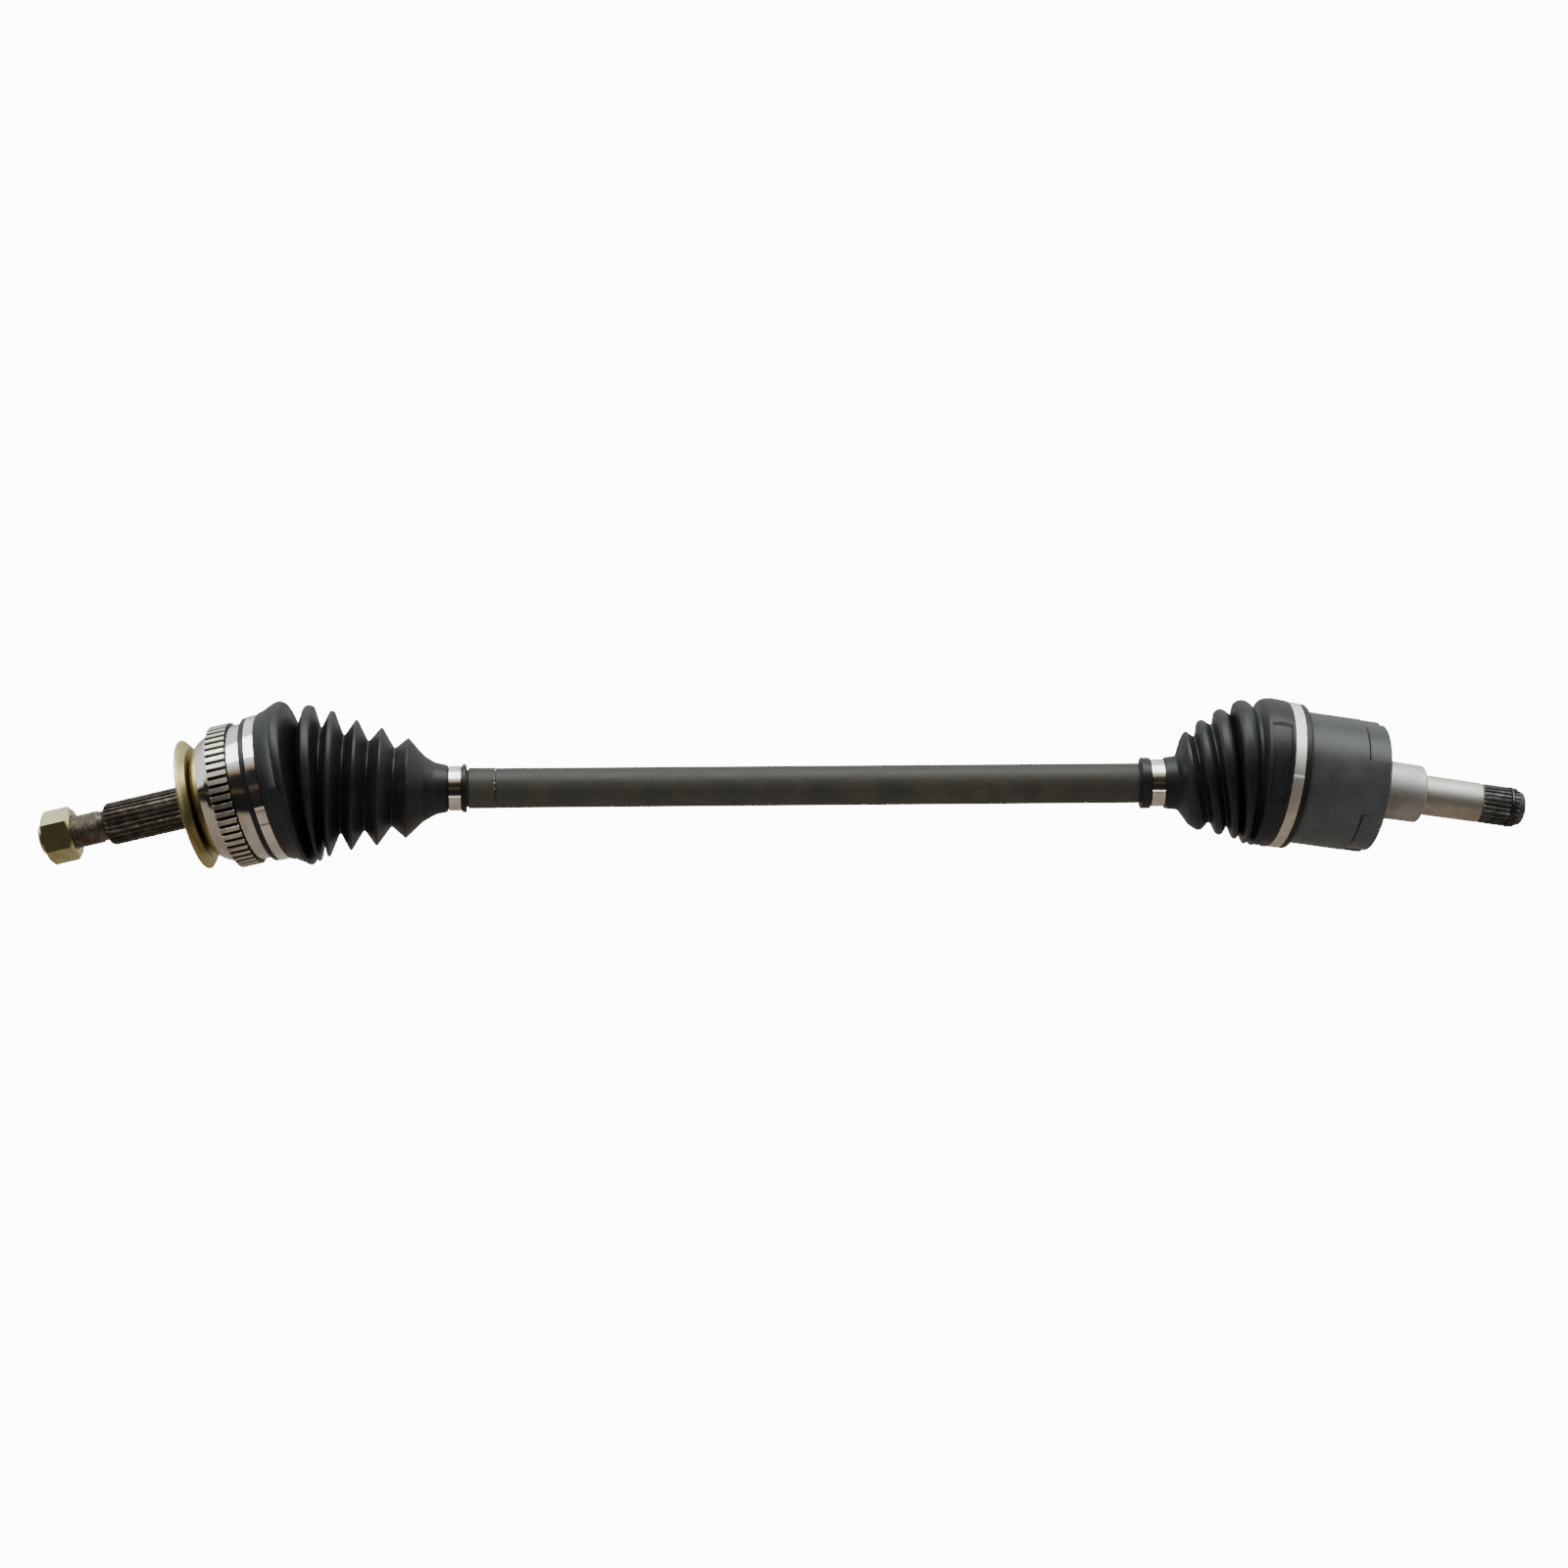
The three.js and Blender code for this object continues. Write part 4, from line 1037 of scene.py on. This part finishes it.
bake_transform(gearbox_boot_far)

# ---------------------------------------------------------------- gearbox-end large clamp
# A strip clamp in satin steel over the boot's seat on the housing.
satin_band = metal_finish(
    "satin_band", (0.78, 0.77, 0.71), (0.66, 0.64, 0.57), (0.50, 0.58), (1200, 3e-6)
)
gearbox_large_clamp = skinned(
    "gearbox_end_large_clamp",
    turned_rings(strip_outline(48.6, 49.5, -37.6, -30.2, 150, 192), 360),
    gearbox_frame,
    [satin_band],
    loop=True,
)
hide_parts("inboard_large_clamp")
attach(gearbox_large_clamp, "gearbox_stub")

# ---------------------------------------------------------------- tripod housing and gearbox stub
# A steel forging: a painted cup with three roller tracks inside and three relieved sectors outside,
# then a bare ground boss, the seal journal and a dark spline that plugs into the gearbox.
housing_radius = 44.8
relief_at = 14.4
relief_depth = 2
relief_half = math.radians(35)
tripod_azimuths = [math.radians(degrees) for degrees in (30, 150, 270)]
track_centre = 23.4
track_half = 17
stub_teeth = 26


def from_azimuth(angle, azimuth):
    """The signed angle from an azimuth, within half a turn."""
    return (angle - azimuth + math.pi) % (2 * math.pi) - math.pi


def cup_inside(core):
    """The cup's inner radius by angle: a round core and three tracks with round ends."""
    def radius(angle):
        out = core
        for azimuth in tripod_azimuths:
            off = from_azimuth(angle, azimuth)
            aside = track_centre * math.sin(off)
            if abs(off) < math.pi / 2 and abs(aside) < track_half:
                out = max(out, track_centre * math.cos(off) + math.sqrt(track_half**2 - aside**2))
        return out

    return radius


def cup_outside(outer, depth=relief_depth):
    """The cup's outer radius by angle where three sectors are relieved between the tracks."""
    def radius(angle):
        relieved = any(abs(from_azimuth(angle, a + math.pi)) <= relief_half for a in tripod_azimuths)
        return min(outer, housing_radius - depth) if relieved else outer

    return radius


def cup_core(x):
    """The radius of the cup's round core, which widens towards the mouth."""
    return 21.5 + 9.9 * max(0, (5 - x) / 49) ** 1.4


cup_outline = [(27, 8)]
cup_outline += [(x, cup_inside(cup_core(x))) for x in (27, 14, 0, -15, -30, -43.6)]
cup_outline += rounded([
    (-44, 41.2), (-44, housing_radius, 1), (-20, housing_radius), (14.3, housing_radius),
], 0)
cup_outline += [(relief_at, cup_outside(housing_radius, 2.6)), (15.5, cup_outside(housing_radius, 2.6))]
cup_outline += [(16.1, cup_outside(housing_radius)), (28.4, cup_outside(housing_radius))]
cup_outline += [(29.6, cup_outside(44.3)), (30.6, cup_outside(43.3)), (31, cup_outside(42.3))]
cup_outline += rounded([
    (31, 40), (31, 19.9, 1.2), (62.2, 19.5, 0.4), (63.4, 18.4, 0.3), (63.4, 13.7, 0.4),
    (104.6, 13.5, 0.3), (105.2, 12.8),
], 0)
stub_spline = toothed(12.3, 13.4, stub_teeth)
cup_outline += [(105.6, 12.3), (107.2, stub_spline), (124.6, stub_spline), (125, 12.2), (125.0, 11.4)]
cup_outline += [(127.4, 11.4), (127.4, 12.2), (127.8, stub_spline), (129.8, stub_spline)]
cup_outline += rounded([
    (131.2, 12.3), (134.8, 10.9, 1.6), (136, 9, 0.8), (136, 3.4, 0.2), (133.4, 1.2), (131, 1.2),
], 0)

# The cup's paint takes a dark line of painted shade at the foot of the step into each relieved sector.
cup_paint = paint_finish(
    "cup_paint", (0.023, 0.0255, 0.0245), (0.033, 0.0355, 0.034), (0.32, 0.44), (700, 3e-5),
    [(30.4, 0.9, 42.6, 0.66), (relief_at, 0.3, 44, 0.72)], (15.3, 1.3, 43.2),
)
ground_steel = metal_finish(
    "ground_steel", (0.50, 0.51, 0.50), (0.42, 0.42, 0.40), (0.58, 0.64), (3000, 3e-6)
)
straw_steel = metal_finish(
    "straw_steel", (0.54, 0.535, 0.50), (0.47, 0.44, 0.37), (0.50, 0.56), (3000, 3e-6)
)
dark_spline = metal_finish(
    "dark_spline", (0.10, 0.10, 0.096), (0.05, 0.049, 0.046), (0.34, 0.46), (900, 4e-6),
    patches=(150.0, 0.35, 0.6), metallic=0.8,
)


def cup_finish_at(x):
    """Painted cup, ground boss, straw-coloured journal and dark spline, from the joint outwards."""
    if x < 31.2:
        return 0
    if x < 63.3:
        return 1
    return 2 if x < 105.1 else 3


cup = skinned(
    "tripod_cup_and_stub",
    turned_rings(cup_outline, stub_teeth * 8),
    gearbox_frame,
    [cup_paint, ground_steel, straw_steel, dark_spline],
    cup_finish_at,
)
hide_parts("tripod_housing")
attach(cup, "gearbox_stub")

# ---------------------------------------------------------------- stub circlip
# A round wire ring, sprung into a groove near the end of the spline, that snaps the stub into the
# gearbox.
wire_steel = metal_finish(
    "wire_steel", (0.06, 0.06, 0.06), (0.025, 0.025, 0.025), (0.30, 0.42), (600, 2e-6), metallic=0.9
)


def wire_ring(name, centre_radius, wire_radius, at, gap_degrees, gap_at, place, finish):
    """A split ring of round wire about X, with its ends cut square."""
    arc = 2 * math.pi - math.radians(gap_degrees)
    steps = 96
    rings = []
    for i in range(steps + 1):
        angle = math.radians(gap_at) + math.radians(gap_degrees) / 2 + arc * i / steps
        ring = []
        for k in range(12):
            turn_at = 2 * math.pi * k / 12
            out = centre_radius + wire_radius * math.cos(turn_at)
            x = at + wire_radius * math.sin(turn_at)
            ring.append((x, out * math.cos(angle), out * math.sin(angle)))
        rings.append(ring)
    return skinned(name, rings, place, [finish], crease=50)


circlip = wire_ring("stub_circlip_wire", 12.85, 0.95, 126.2, 24, 0, gearbox_frame, wire_steel)
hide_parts("stub_circlip")
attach(circlip, "gearbox_stub")

# ---------------------------------------------------------------- inside the joints
# The races, cage, balls, spider, rollers and needles are hardened bearing steel, and the rings that
# hold them are blued spring steel. They run in grease and are only seen with a boot off.
bearing_steel = metal_finish(
    "bearing_steel", (0.62, 0.62, 0.61), (0.40, 0.37, 0.30), (0.12, 0.28), (1800, 2e-6),
    turned=False,
)
hardened_steel = metal_finish(
    "hardened_steel", (0.24, 0.23, 0.22), (0.13, 0.12, 0.10), (0.25, 0.40), (1200, 4e-6),
    turned=False,
)
blued_steel = metal_finish(
    "blued_steel", (0.07, 0.07, 0.075), (0.03, 0.03, 0.035), (0.30, 0.42), (600, 2e-6),
    metallic=0.9, turned=False,
)
inner_finishes = {
    bearing_steel: ["needles_", "roller_", "ball_"],
    hardened_steel: ["inner_race", "cage", "spider"],
    blued_steel: ["inner_race_snap_ring", "spider_circlip", "roller_retainer"],
}
# a longer name comes later in the list and takes over from the shorter one it starts with
for finish, starts in inner_finishes.items():
    for name, node in frame["nodes"].items():
        if any(name.startswith(begin) for begin in starts):
            for slot in node.material_slots:
                slot.material = finish
